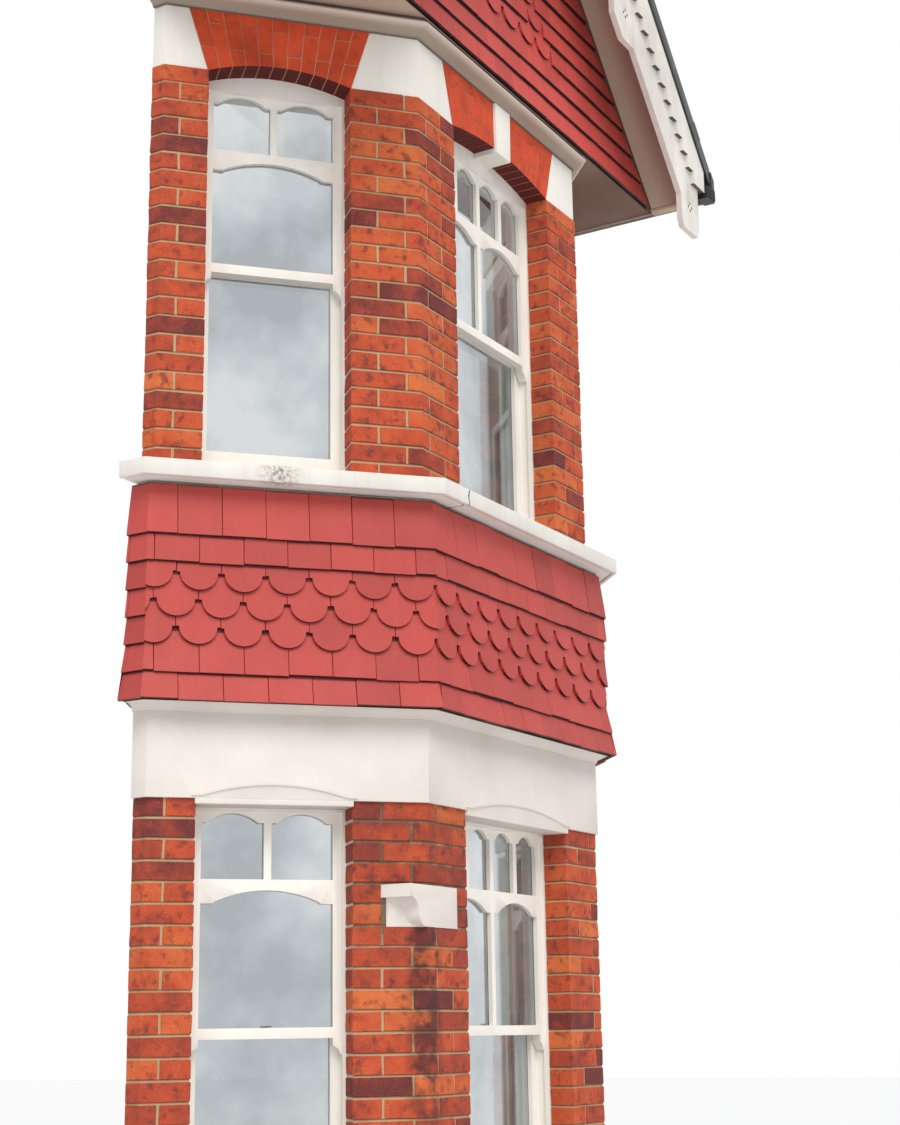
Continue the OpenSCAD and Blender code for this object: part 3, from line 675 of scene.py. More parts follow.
class BAY_OT_bricks(bpy.types.Operator):
    """Lays the bricks of the piers and the plinth over their mortar cores"""
    bl_idname = "bay.bricks"
    bl_label = "Bricks"

    def execute(self, context):
        look = context.scene.bay_brick
        stops = [(0.0, tuple(look.light)), (0.42, tuple(look.middle)), (1.0, tuple(look.dark))]
        clay = brick_finish("red_brick", stops, burnt=0.75, speck=0.7)
        sooty(clay, (0.075, 0.022, 0.022), 0.85, 0.25, 0.28)
        kinds = brick_masters(look.joint, look.proud)
        self.piers(look, kinds, clay, "ground", GROUND_SILL, GROUND_HEAD, turn=1, deeper=0.08)
        self.piers(look, kinds, clay, "upper", UPPER_SILL, SPRING, turn=0, deeper=0.0)
        self.plinth(look, kinds, clay)
        drop(*kinds.values())
        mortar = plain_finish(
            "lime_mortar", tuple(look.mortar), (0.28, 0.22, 0.16), 0.35, 0.95,
            grainy=0.35, streaky=0.25, relief=0.003)
        sooty(mortar, (0.10, 0.065, 0.045), 0.8, 0.80, 0.30)
        plaster_inside(mortar, (0.62, 0.58, 0.51), tuple(look.middle))
        dress_nodes(mortar, "plinth_wall", "spandrel_wall", "head_wall")
        for pier in ("ground_corner_pier_", "ground_end_pier_", "upper_corner_pier_", "upper_end_pier_"):
            dress_nodes(mortar, pier + "left", pier + "right")
        return {"FINISHED"}

    def piers(self, look, kinds, clay, storey, bottom, top, turn, deeper):
        """Headers and stretchers by turns. The stone bracket takes the place of some corner bricks."""
        gap, out = look.joint, look.proud
        count = round((top - bottom) / COURSE)
        places = []

        def set_brick(kind, at, skew=0.004):
            places.append((kinds[kind], at @ nudge(skew), brick_tone(deeper)))

        for side in ("left", "right"):
            for k in range(count):
                lift = shift(z=bottom + k * COURSE + gap)
                corner = corner_frame(side) @ lift
                face = face_frame(side) @ lift
                front_first = (count - 1 - k + turn) % 2 == 0
                on_front, on_side_face = ("header", "stretcher") if front_first else ("stretcher", "header")
                middle = bottom + (k + 0.5) * COURSE
                if side == "left" and BRACKET_LOW.z < middle < BRACKET_HIGH.z:
                    on_front, on_side_face = "closer", "header"
                else:
                    set_brick("front_long" if front_first else "side_long", corner)
                set_brick(on_front, corner @ MIRROR @ shift(PIER_W - BRICK_WIDTHS[on_front]))
                set_brick(on_side_face, face @ shift(PIER_W - BRICK_WIDTHS[on_side_face]))
                if front_first:
                    set_brick("end_whole", face, skew=0)
                else:
                    set_brick("header", face @ shift(END_PIER_START - out))
                    set_brick("end_part", face, skew=0)
        piece = lay(storey + "_pier_bricks", places)
        wander(piece)
        trim_at_back(piece)
        complete(piece, clay, "brick")

    def plinth(self, look, kinds, clay):
        gap = look.joint
        places = []
        for k in range(round((GROUND_SILL - COURSE) / COURSE)):
            lift = shift(z=k * COURSE + gap)
            if k % 2 == 0:
                front_end, side_end, tail = CORNER_LONG, CORNER_SHORT, END_PIER_W
                corner_kind, end_kind = "front_long", "end_whole"
            else:
                front_end, side_end, tail = CORNER_SHORT, CORNER_LONG, END_PIER_W - BRICK_WIDE - gap
                corner_kind, end_kind = "side_long", "end_part"
            for side in ("left", "right"):
                places.append((kinds[corner_kind], corner_frame(side) @ lift @ nudge(), brick_tone()))
                places.append((kinds[end_kind], face_frame(side) @ lift @ nudge(0), brick_tone()))
            runs = [("front", front_end + gap, 2 * HALF_W - front_end - gap)]
            runs += [(side, side_end + gap, SIDE_W - tail - gap) for side in ("left", "right")]
            for face, low, far in runs:
                for s, share, is_header in brick_run(low, far, gap, k % 2 == 1):
                    slip = kinds["header_slip" if is_header else "stretcher_slip"]
                    at = face_frame(face) @ lift @ shift(s) @ Matrix.Diagonal((share, 1, 1, 1))
                    places.append((slip, at @ nudge(), brick_tone()))
        piece = lay("plinth_bricks", places)
        wander(piece)
        trim_at_back(piece)
        trim(piece, (0, 0, 0.0005), (0, 0, -1))
        complete(piece, clay, "brick")


# Arches

class BayArchSettings(bpy.types.PropertyGroup):
    rise: FloatProperty(
        name="Rise", description="Rise of the arches' soffit", default=0.050, unit="LENGTH")
    skew: FloatProperty(
        name="Skew", description="How far an arch's end leans out", default=0.078, unit="LENGTH")
    clay: FloatVectorProperty(
        name="Rubbed brick", description="Colour of the arches' bricks",
        default=(0.60, 0.068, 0.019), size=3, subtype="COLOR")
    count: IntProperty(
        name="Bricks", description="Bricks across a side window's arch", default=11)


def arc_height(x, width, rise):
    """Height of a segmental arc over its springing line."""
    radius = (width * width / 4 + rise * rise) / (2 * rise)
    inside = max(radius * radius - (x - width / 2) ** 2, 0)
    return math.sqrt(inside) - (radius - rise)


def joint_line(shares, width, look, high):
    """The foot and head of a joint between wedges, and how far up it the curved soffit lies."""
    low_x = width * shares[0]
    top_x = -look.skew + (width + 2 * look.skew) * shares[1]
    t = 0.0
    for _ in range(12):
        t = max(arc_height(low_x + (top_x - low_x) * t, width, look.rise), 0) / high
    return low_x, top_x, t


def arch_bricks(name, face, open_w, lines, look):
    """Wedge bricks between a set of joint lines, each cut in two at a height that alternates."""
    high = ARCH_TOP - SPRING - 0.001
    half_joint = 0.0014
    below_soffit = 0.0015
    proud = 0.0016
    edge = 0.0009
    places = []

    def joint_x(line, t, side):
        return line[0] + (line[1] - line[0]) * t + side * half_joint

    for i, (first, last) in enumerate(zip(lines, lines[1:])):
        start = joint_line(first, open_w, look, high)
        end = joint_line(last, open_w, look, high)
        cut = 0.80 if i % 2 else 0.40
        for upper in (False, True):
            start_t, end_t = (cut, cut) if upper else (start[2], end[2])
            top_t = 1.0 if upper else cut
            foot = half_joint if upper else -below_soffit
            head = 0 if upper else -half_joint
            points = [
                (joint_x(start, start_t, 1), start_t * high + foot),
                (joint_x(end, end_t, -1), end_t * high + foot),
                (joint_x(end, top_t, -1), top_t * high + head),
                (joint_x(start, top_t, 1), top_t * high + head)]
            if not upper:
                x = (points[0][0] + points[1][0]) / 2
                points.insert(1, (x, max(arc_height(x, open_w, look.rise), 0) + foot))
            wedge = prism("wedge", [(x, -proud, z) for x, z in points], (0, BRICK_BACK, 0), edge)
            places.append((wedge, face @ shift(0, jitter(0.0003), SPRING), TIDY.uniform(0.25, 0.6)))
    piece = lay(name, places)
    drop(*(wedge for wedge, matrix, tone in places))
    return piece


class BAY_OT_arches(bpy.types.Operator):
    """Sets the wedge-shaped bricks of the arches over their cores"""
    bl_idname = "bay.arches"
    bl_label = "Arches"

    def execute(self, context):
        look = context.scene.bay_arch
        clay = tuple(look.clay)
        stops = [(0.0, scaled(clay, 1.25, 0.008)), (0.45, clay), (1.0, scaled(clay, 0.55))]
        red = brick_finish("rubbed_brick", stops, burnt=0.25, speck=0.25)
        darken_undersides(red, (0.10, 0.012, 0.010))
        lines = [(i / look.count, i / look.count) for i in range(look.count + 1)]
        runs = [("left", "left", SIDE_OPEN, lines), ("right", "right", SIDE_OPEN, lines)]
        half_count = 7
        foot_gap, head_gap = 0.0625, 0.0675
        key_foot = (FRONT_OPEN / 2 - foot_gap) / FRONT_OPEN
        key_head = (FRONT_OPEN / 2 + look.skew - head_gap) / (FRONT_OPEN + 2 * look.skew)
        shares = [i / half_count for i in range(half_count + 1)]
        left = [(key_foot * share, key_head * share) for share in shares]
        right = [(1 - foot, 1 - head) for foot, head in reversed(left)]
        runs += [("front_left", "front", FRONT_OPEN, left), ("front_right", "front", FRONT_OPEN, right)]
        for name, face, open_w, joints in runs:
            at = face_frame(face) @ shift(PIER_W)
            complete(arch_bricks("arch_bricks_" + name, at, open_w, joints, look), red, "arch_brick")
        joint = plain_finish("arch_joint", (0.62, 0.40, 0.30), (0.30, 0.10, 0.07), 0.6, 0.9)
        dress_nodes(joint, "arch_front", "arch_left", "arch_right")
        return {"FINISHED"}


# Stone, render and mouldings

class BayPaintSettings(bpy.types.PropertyGroup):
    white: FloatVectorProperty(
        name="White paint", description="Colour of painted stone and joinery",
        default=(0.80, 0.77, 0.71), size=3, subtype="COLOR")
    dirt: FloatVectorProperty(
        name="Dirt", description="Colour of dirt on the paint",
        default=(0.34, 0.29, 0.24), size=3, subtype="COLOR")
    cream: FloatVectorProperty(
        name="Cornice paint", description="Colour of the cornice and soffits",
        default=(0.52, 0.42, 0.36), size=3, subtype="COLOR")


def wear_sill(look):
    """The upper sill has a crack in its front and a rusty smudge on its left side."""
    jag = look.times(look.minus(look.noise(28.0, 4.0), 0.5), 0.06)
    off = look.maths("ABSOLUTE", look.plus(look.minus(look.along("X"), CRACK_X), jag))
    upper_front = look.times(
        look.over(look.along("Z"), UPPER_SILL - 0.2), look.under(look.along("Y"), FACE_Y - 0.03))
    look.coat(look.times(look.spread(off, 0.0030, 0.0055, 0.97, 0.0), upper_front), (0.035, 0.028, 0.025))
    near = look.fade(look.compare("DISTANCE", look.place(), SMUDGE), 0.01, 0.10)
    spots = look.spread(look.noise(75.0, 5.0, 0.7), 0.42, 0.58, 0.0, 0.8)
    look.coat(look.times(near, spots), (0.15, 0.085, 0.05))


class BAY_OT_stonework(bpy.types.Operator):
    """Softens and paints the sills, stones, band, cove, bracket and cornice"""
    bl_idname = "bay.stonework"
    bl_label = "Stonework"

    def execute(self, context):
        paint = context.scene.bay_paint
        white, dirt, cream = tuple(paint.white), tuple(paint.dirt), tuple(paint.cream)
        off_white = tuple(c * share for c, share in zip(white, (0.97, 0.93, 0.93)))
        sill = plain_finish("painted_sill", white, dirt, 0.20, 0.6, streaky=0.14, relief=0.0012)
        wear_sill(sill)
        # The springers and keystone take a lighter copy of the white paint: painted light against the shade
        # of the roof's overhang.
        stone = plain_finish(
            "painted_stone", scaled(white, 1.13), dirt, 0.12, 0.6, grainy=0.06, streaky=0.10, relief=0.0012)
        band = plain_finish(
            "painted_render", off_white, dirt, 0.16, 0.75, grainy=0.12, streaky=0.03, relief=0.002)
        cornice = plain_finish(
            "cornice_paint", cream, (0.24, 0.19, 0.16), 0.45, 0.6, grainy=0.15, streaky=0.35, relief=0.0015)
        foot = SOFFIT - CORNICE_H
        # Painted highlight along the roll, painted shade at its foot, and a near-black band above the roll
        # that is painted shade with dirt in the recess.
        paint_shading_along(cornice, "Z", 0.85, [
            (foot, (0.14, 0.10, 0.08)), (foot + 0.005, (0.30, 0.24, 0.18)),
            (foot + 0.026, (0.36, 0.28, 0.22)), (foot + 0.038, (0.66, 0.54, 0.47)),
            (foot + 0.056, (0.78, 0.66, 0.59)), (foot + 0.061, (0.60, 0.48, 0.41)),
            (foot + 0.063, (0.07, 0.05, 0.04)), (SOFFIT, (0.05, 0.035, 0.03))])
        for name, width, look in (
                ("ground_sill", 0.005, sill), ("upper_sill", 0.005, sill),
                ("springer_stones", 0.003, stone), ("keystone", 0.003, stone),
                ("corbel_stone", 0.003, band), ("storey_band", 0.003, band)):
            eased(name, width, look, "painted_stone", segments=2)
        eased("band_cove", 0.002, band, "painted_stone")
        eased("cornice", 0.002, cornice, "cornice_paint")
        return {"FINISHED"}


# Hung tiles

class BayTileSettings(bpy.types.PropertyGroup):
    gauge: FloatProperty(
        name="Gauge", description="Height of tile that shows", default=0.102, unit="LENGTH")
    width: FloatProperty(
        name="Width", description="Width of one tile with its gap", default=0.1637, unit="LENGTH")
    gable_width: FloatProperty(
        name="Gable width", description="Width of one tile of the gable", default=0.157, unit="LENGTH")
    thick: FloatProperty(
        name="Thickness", description="Thickness of one tile", default=0.012, unit="LENGTH")
    paint: FloatVectorProperty(
        name="Tile paint", description="Colour of the painted tiles",
        default=(0.48, 0.060, 0.050), size=3, subtype="COLOR")


TILE_LONG = 0.200
TILE_GAP = 0.002
TILE_EDGE = 0.0012
CLUB_SHOULDER = 0.066
CLUB_STEP = 0.011
# How much higher than the gauge a tile shows under each kind of cover
SHOWS_ABOVE = {"plain": 0.0, "club": 0.060, "sill": 0.093}
# How far each course of the apron stands out from the brick, from its foot up to the sill
APRON_OUT = (0.104, 0.0897, 0.0806, 0.078, 0.078, 0.078, 0.079, 0.078)
# The kinds of its courses. The sill covers the last one.
APRON_KINDS = ("plain", "plain", "club", "club", "club", "plain", "plain", "sill")
# The front's tiles are a touch narrower than the sides'
FRONT_SHARE = 0.9993
GABLE_OUT = 0.075
# How far the dark backing lies behind the tiles' faces. Its near black is painted shade that shows between
# the tiles.
APRON_BACKING = 0.026
GABLE_BACKING = 0.022


def tile_finish(name, base, shade, pale, lap, lap_shadow_share):
    """Painted clay tiles: deeper in colour on some, paler in blotches, with a painted shadow under each
    lap.
    """
    look = Finish(name, 0.55, Blotch_Size=5.0, Grain_Size=90.0)
    look.paint(base)
    look.coat(look.times(look.attribute("tone"), 0.55), shade)
    look.coat(look.times(look.blotch, 0.25), pale)
    look.coat(look.times(look.streak, 0.22), shade)
    # Painted shadow: a dark band on each tile just below the tail that laps over it.
    lap_shadow = look.spread(look.attribute("below"), lap * 0.35, lap, lap_shadow_share, 0.0)
    look.coat(lap_shadow, (0.030, 0.008, 0.008))
    look.gloss(look.grain, 0.48, 0.66)
    look.relief(look.grain, 0.2, 0.001)
    return look


def tile_master(name, width, thick, kind, lap):
    """A hanging tile, tail at z 0, its outer face at y 0 and its body behind. Club tiles have a round tail.
    Each point keeps how far it lies below the tail that covers the tile."""
    half = width / 2 - TILE_GAP / 2
    if kind == "club":
        reach = half - CLUB_STEP
        turns = [math.pi * i / 12 for i in range(13)]
        tail = [(-reach * math.cos(turn), CLUB_SHOULDER * (1 - math.sin(turn))) for turn in turns]
        tail = [(-half, CLUB_SHOULDER), *tail, (half, CLUB_SHOULDER)]
    else:
        tail = [(-half, 0), (half, 0)]
    points = [(-half, TILE_LONG), *tail, (half, TILE_LONG)]
    tile = prism(name, [(x, 0, z) for x, z in points], (0, thick, 0), TILE_EDGE)
    mark = tile.data.attributes.new("below", "FLOAT", "POINT")
    mark.data.foreach_set("value", [lap - vert.co.z for vert in tile.data.vertices])
    return tile


def tile_masters(width, look):
    """Plain and club tiles, each for a plain course, a club course or the sill above it."""
    masters = {}
    for kind in ("plain", "club"):
        for cover, more in SHOWS_ABOVE.items():
            lap = look.gauge + more
            masters[kind, cover] = tile_master(f"{kind}_{cover}", width, look.thick, kind, lap)
    return masters


def hang(places, master, face, s, out, z, lean, ragged):
    """Hangs one tile on a face, never quite true."""
    tilt = Matrix.Rotation(lean + jitter(0.004), 4, "X")
    twist = Matrix.Rotation(jitter(0.006), 4, "Y")
    at = face @ shift(s, -out + jitter(0.0008), z + jitter(ragged)) @ tilt @ twist
    places.append((master, at, TIDY.random() ** 2))


def in_pattern(row, place):
    """The round tails draw a triangle: five in its lowest course, and one at each end of those above."""
    reach = (7 - row) / 2
    if row == 3:
        return abs(place) < 2.5
    return 3 < row < 8 and reach - 0.75 < abs(place) < reach + 0.25


def pull_in(point, amount):
    """Moves an outer point of the plan towards the wall, and keeps the flat back."""
    x, y = abs(point.x), point.y
    sign = 1 if point.x > 0 else -1
    front_gap = FACE_Y - y
    side_gap = (x - HALF_W) * SIN - (y - FACE_Y) * COS
    end_gap = x - END_X
    gap = max(front_gap, side_gap, end_gap)
    inner_gap = 0.03
    if gap < inner_gap:
        return point.x, y
    share = (gap - amount) / gap
    if y > CUT_Y:
        return sign * (END_X + end_gap * share), y
    corner = FRONT_CORNER if abs(side_gap - front_gap) < 0.002 else END_CORNER
    moved = corner + (Vector((x, y)) - corner) * share
    return sign * moved.x, moved.y


class BAY_OT_hung_tiles(bpy.types.Operator):
    """Hangs the apron's and the gable's tiles one by one"""
    bl_idname = "bay.hung_tiles"
    bl_label = "Hung tiles"

    def execute(self, context):
        look = context.scene.bay_tile
        paint = tuple(look.paint)
        shade = scaled(paint, 0.62)
        pale = scaled(paint, 1.2, 0.02)
        red = tile_finish("painted_tiles", paint, shade, pale, lap=0.007, lap_shadow_share=0.75)
        # A lighter copy of the apron's tiles, with darker laps: painted light against the shade of the
        # roof's overhang.
        gable_painted_light = tile_finish(
            "gable_tiles_painted_light", scaled(paint, 1.22), shade, scaled(pale, 1.22),
            lap=0.014, lap_shadow_share=0.95)
        # Painted shade with dirt: the tiles' tails and undersides, seen from below, turn near black.
        darken_undersides(red, (0.030, 0.008, 0.007))
        darken_undersides(gable_painted_light, (0.020, 0.006, 0.006))
        # Near black: painted shade seen between and behind the tiles.
        dark = plain_finish("tile_backing_painted_shade", (0.03, 0.012, 0.010), (0.01, 0.006, 0.005), 0.5, 0.95)
        masters = tile_masters(look.width, look)
        self.apron(look, masters, red)
        drop(*masters.values())
        for face in ("front", "left", "right"):
            self.backing("apron_tiles_" + face, dark)
        masters = tile_masters(look.gable_width, look)
        self.gable(look, masters, gable_painted_light)
        drop(*masters.values())
        self.gable_backing(dark)
        return {"FINISHED"}

    def course(self, look, places, master, face, i, ends, width, ragged):
        """One course of the apron between two ends of a face."""
        out = APRON_OUT[i]
        lean = -math.atan((out - APRON_OUT[i + 1] + look.thick) / look.gauge)
        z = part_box("apron_tiles_front")[0].z + i * look.gauge
        low, far = ends
        s = low if i % 2 else low + width / 2
        while s < far + width * 0.51:
            hang(places, master, face, s, out, z, lean, ragged)
            s += width

    def apron(self, look, masters, red):
        for face in ("front", "left", "right"):
            is_front = face == "front"
            width = look.width * (FRONT_SHARE if is_front else 1.0)
            places = []
            for i, kinds in enumerate(zip(APRON_KINDS, APRON_KINDS[1:])):
                out = APRON_OUT[i]
                far = 2 * HALF_W + out * MITRE if is_front else SIDE_W + out * END_MITRE
                ragged = 0.0022 if kinds[0] == "club" else 0.0034
                ends = (-out * MITRE, far)
                self.course(look, places, masters[kinds], face_frame(face), i, ends, width, ragged)
            piece = self.hung("apron_hung_tiles_" + face, places)
            if is_front:
                trim_mitre(piece, 1, FRONT_CORNER, FRONT_MITRE_TURN, 1)
                trim_mitre(piece, -1, FRONT_CORNER, FRONT_MITRE_TURN, 1)
                complete(piece, red, "painted_tile")
                continue
            sign = 1 if face == "right" else -1
            trim_mitre(piece, sign, FRONT_CORNER, FRONT_MITRE_TURN, -1)
            trim_mitre(piece, sign, END_CORNER, END_MITRE_TURN, 1)
            complete(piece, red, "painted_tile")
            at = on_side(run_frame(0, 1, *END_CORNER), face)
            places = []
            for i, cover in enumerate(["plain"] * 6 + ["sill"]):
                ends = (-APRON_OUT[i] * END_MITRE, RETURN)
                self.course(look, places, masters["plain", cover], at, i, ends, look.width, 0.001)
            piece = self.hung("apron_return_tiles_" + face, places)
            trim_at_back(piece)
            trim_mitre(piece, sign, END_CORNER, END_MITRE_TURN, -1)
            complete(piece, red, "painted_tile")

    def hung(self, name, places):
        """Tiles of the apron, cut off under the sill."""
        piece = lay(name, places)
        trim(piece, (0, 0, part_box("apron_tiles_front")[1].z), (0, 0, 1))
        return piece

    def backing(self, name, dark):
        """The solid courses shrink behind the tiles as a dark backing: painted shade that shows between the
        tiles.
        """
        obj = loose_copy(name, "_backing", quads=False)
        for vert in obj.data.vertices:
            vert.co.x, vert.co.y = pull_in(vert.co, APRON_BACKING)
        complete(obj, dark, "painted_tile", name)

    def gable(self, look, masters, red):
        low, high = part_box("gable_tiles")
        tall = high.z - low.z
        lean = -math.atan(look.thick / look.gauge)
        middle = shift(0, FACE_Y)
        wide = look.gable_width
        margin = 0.02
        places = []
        for row in range(int(tall / look.gauge) + 1):
            row_half = high.x * (1 - row * look.gauge / tall) + margin
            offset = 0.0 if row % 2 else wide / 2
            count = int(row_half / wide) + 2
            for column in range(-count, count + 1):
                s = column * wide + offset
                if abs(s) > row_half + wide / 2:
                    continue
                kind = "club" if in_pattern(row, s / wide) else "plain"
                above = [in_pattern(row + 1, s / wide + half_tile) for half_tile in (-0.5, 0.5)]
                master = masters[kind, "club" if any(above) else "plain"]
                hang(places, master, middle, s, GABLE_OUT, low.z + row * look.gauge, lean, 0.002)
        piece = lay("gable_hung_tiles", places)
        for sign in (-1, 1):
            trim(piece, (0, 0, high.z), (sign * OFF_SLOPE.x, 0, OFF_SLOPE.z))
        complete(piece, red, "painted_tile")

    def gable_backing(self, dark):
        # A near-black sheet behind the gable's tiles: painted shade seen between them.
        low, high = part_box("gable_tiles")
        half = high.x
        y = FACE_Y - GABLE_OUT + GABLE_BACKING
        base = low.z + 0.002
        thick = 0.0063
        points = [(-half, y, base), (half, y, base), (0, y, low.z + half * math.tan(PITCH))]
        back = prism("gable_tile_backing", points, (0, thick, 0))
        complete(back, dark, "painted_tile", "gable_tiles")


# Joinery

LINING_T = 0.018
# Thickness of a sash, and height of its meeting rail
SASH_T = 0.038
SASH_SPACE = 0.004


def glass_finish():
    """Clear panes with a grey tint, mottled paler and darker as painted reflections of cloud."""
    look = Finish("window_glass", 0.02, Blotch_Size=1.2)
    # Painted reflection: cloud-like patches of paler and darker grey over the panes.
    look.paint(look.ramp(look.noise(1.7, 5.0, 0.55), [
        (0.36, (0.40, 0.43, 0.45)), (0.50, (0.53, 0.57, 0.59)), (0.62, (0.67, 0.70, 0.71))]))
    look.shader["Transmission Weight"].default_value = 1.0
    look.shader["Metallic"].default_value = 0.0
    look.shader["IOR"].default_value = 1.5
    look.shader["Specular IOR Level"].default_value = 0.9
    look.gloss(look.blotch, 0.01, 0.05)
    return look


def near_verge(look):
    """One along the upper part of the bargeboards, and nought below it."""
    aside = look.times(look.maths("ABSOLUTE", look.along("X")), math.sin(PITCH))
    down = look.times(look.minus(VERGE_APEX, look.along("Z")), math.cos(PITCH))
    return look.fade(look.minus(down, aside), 0.19, 0.21)


def meeting_rail_top(sill, head):
    """Height of the top of the lower sash, where the catch sits."""
    cill_h, head_drop, meeting_share = 0.050, 0.030, 0.51
    return sill + cill_h + (head - sill - cill_h - head_drop) * meeting_share + SASH_T


class BAY_OT_joinery(bpy.types.Operator):
    """Softens and paints the windows and the bargeboards, and adds the sash catches"""
    bl_idname = "bay.joinery"
    bl_label = "Joinery"

    def execute(self, context):
        paint = context.scene.bay_paint
        white, dirt = tuple(paint.white), tuple(paint.dirt)
        # A lighter copy of the white paint: painted light against the shade of the deep reveals.
        wood = plain_finish(
            "painted_wood", scaled(white, 1.15), dirt, 0.12, 0.42, grainy=0.05, streaky=0.10, relief=0.0006)
        board = plain_finish("bargeboard_paint", white, (0.22, 0.17, 0.14), 0.20, 0.55, streaky=0.22)
        # Painted shade with algae on the downward faces of the bargeboards' upper steps.
        darken_undersides(board, (0.11, 0.085, 0.045), near_verge(board))
        for storey in ("ground", "upper"):
            for face in ("front", "left", "right"):
                eased(f"{storey}_window_{face}", 0.0018, wood, "painted_wood")
        eased("bargeboard_left", 0.0025, board, "painted_wood")
        eased("bargeboard_right", 0.0025, board, "painted_wood")
        eased("eaves_fascias", 0.002, board, "painted_wood")
        dress_nodes(glass_finish(), "ground_glass", "upper_glass")
        self.catches(wood)
        self.flower_shadow_discs()
        return {"FINISHED"}

    def catches(self, wood):
        """A knob and a lever on the meeting rails of each window."""
        deselect()
        bpy.ops.mesh.primitive_cylinder_add(vertices=20, radius=0.011, depth=0.010, location=(0, 0, 0.005))
        knob = bpy.context.object
        with editing(knob):
            bpy.ops.mesh.bevel(offset=0.003, offset_pct=0, segments=2, affect="EDGES")
        lever = block("lever", (-0.028, -0.006, 0.002), (0.012, 0.006, 0.008), 0.002)
        behind_face = 0.006
        sash_y = REVEAL + LINING_T + SASH_T + SASH_SPACE + behind_face
        side_middle = PIER_W + SIDE_OPEN / 2
        places = []
        for sill, head in ((GROUND_SILL, GROUND_HEAD), (UPPER_SILL, SPRING)):
            z = meeting_rail_top(sill, head) - 0.0005
            for face, s in (("front", HALF_W), ("left", side_middle), ("right", side_middle)):
                at = face_frame(face) @ shift(s, sash_y, z)
                places += [(knob, at, 0.0), (lever, at, 0.0)]
        piece = lay("sash_catches", places)
        drop(knob, lever)
        complete(piece, wood, "painted_wood")

    def flower_shadow_discs(self):
        """The drilled flowers of the bargeboards look black: a dark disc just behind the face of each is
        painted shade in the holes.
        """
        low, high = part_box("bargeboard_right")
        board_t, behind_face = 0.028, 0.0042
        y = high.y - board_t + behind_face
        foot_flower = (high.x - 0.151, low.z + 0.133)
        bulge_flower = (0.662, VERGE_APEX - 1.1347)
        deselect()
        bpy.ops.mesh.primitive_cylinder_add(vertices=24, radius=0.0275, depth=0.004)
        shadow_disc = bpy.context.object
        upright = Matrix.Rotation(math.pi / 2, 4, "X")
        places = []
        for x, z in (foot_flower, bulge_flower):
            for sign in (1, -1):
                places.append((shadow_disc, shift(sign * x, y, z) @ upright, 0.0))
        piece = lay("flower_shadow_discs", places)
        drop(shadow_disc)
        # Near-black discs: painted shade at the bottom of the drilled holes.
        black = plain_finish("hole_painted_shadow", (0.015, 0.012, 0.010), (0.01, 0.008, 0.007), 0.3, 0.95)
        complete(piece, black, "painted_wood")


# Roof

class BayRoofSettings(bpy.types.PropertyGroup):
    gauge: FloatProperty(
        name="Gauge", description="Length of roof tile that shows", default=0.330, unit="LENGTH")
    width: FloatProperty(
        name="Width", description="Width of a roof tile that shows", default=0.296, unit="LENGTH")
    clay: FloatVectorProperty(
        name="Roof tile", description="Colour of the roof tiles",
        default=(0.16, 0.085, 0.06), size=3, subtype="COLOR")
    lichen: FloatVectorProperty(
        name="Lichen", description="Colour of the lichen",
        default=(0.36, 0.30, 0.12), size=3, subtype="COLOR")


def roof_finish(settings):
    """Dull clay tiles with paler worn grain and spots of lichen."""
    look = Finish("roof_tile", 0.9, Blotch_Size=6.0, Grain_Size=110.0)
    clay = tuple(settings.clay)
    look.paint(clay)
    look.coat(look.attribute("tone"), scaled(clay, 0.6))
    look.coat(look.spread(look.grain, 0.4, 1.0, 0.0, 0.5), scaled(clay, 2.0))
    look.coat(look.spread(look.noise(19.0, 8.0), 0.60, 0.70, 0.0, 0.75), tuple(settings.lichen))
    look.relief(look.grain, 0.6, 0.004)
    return look


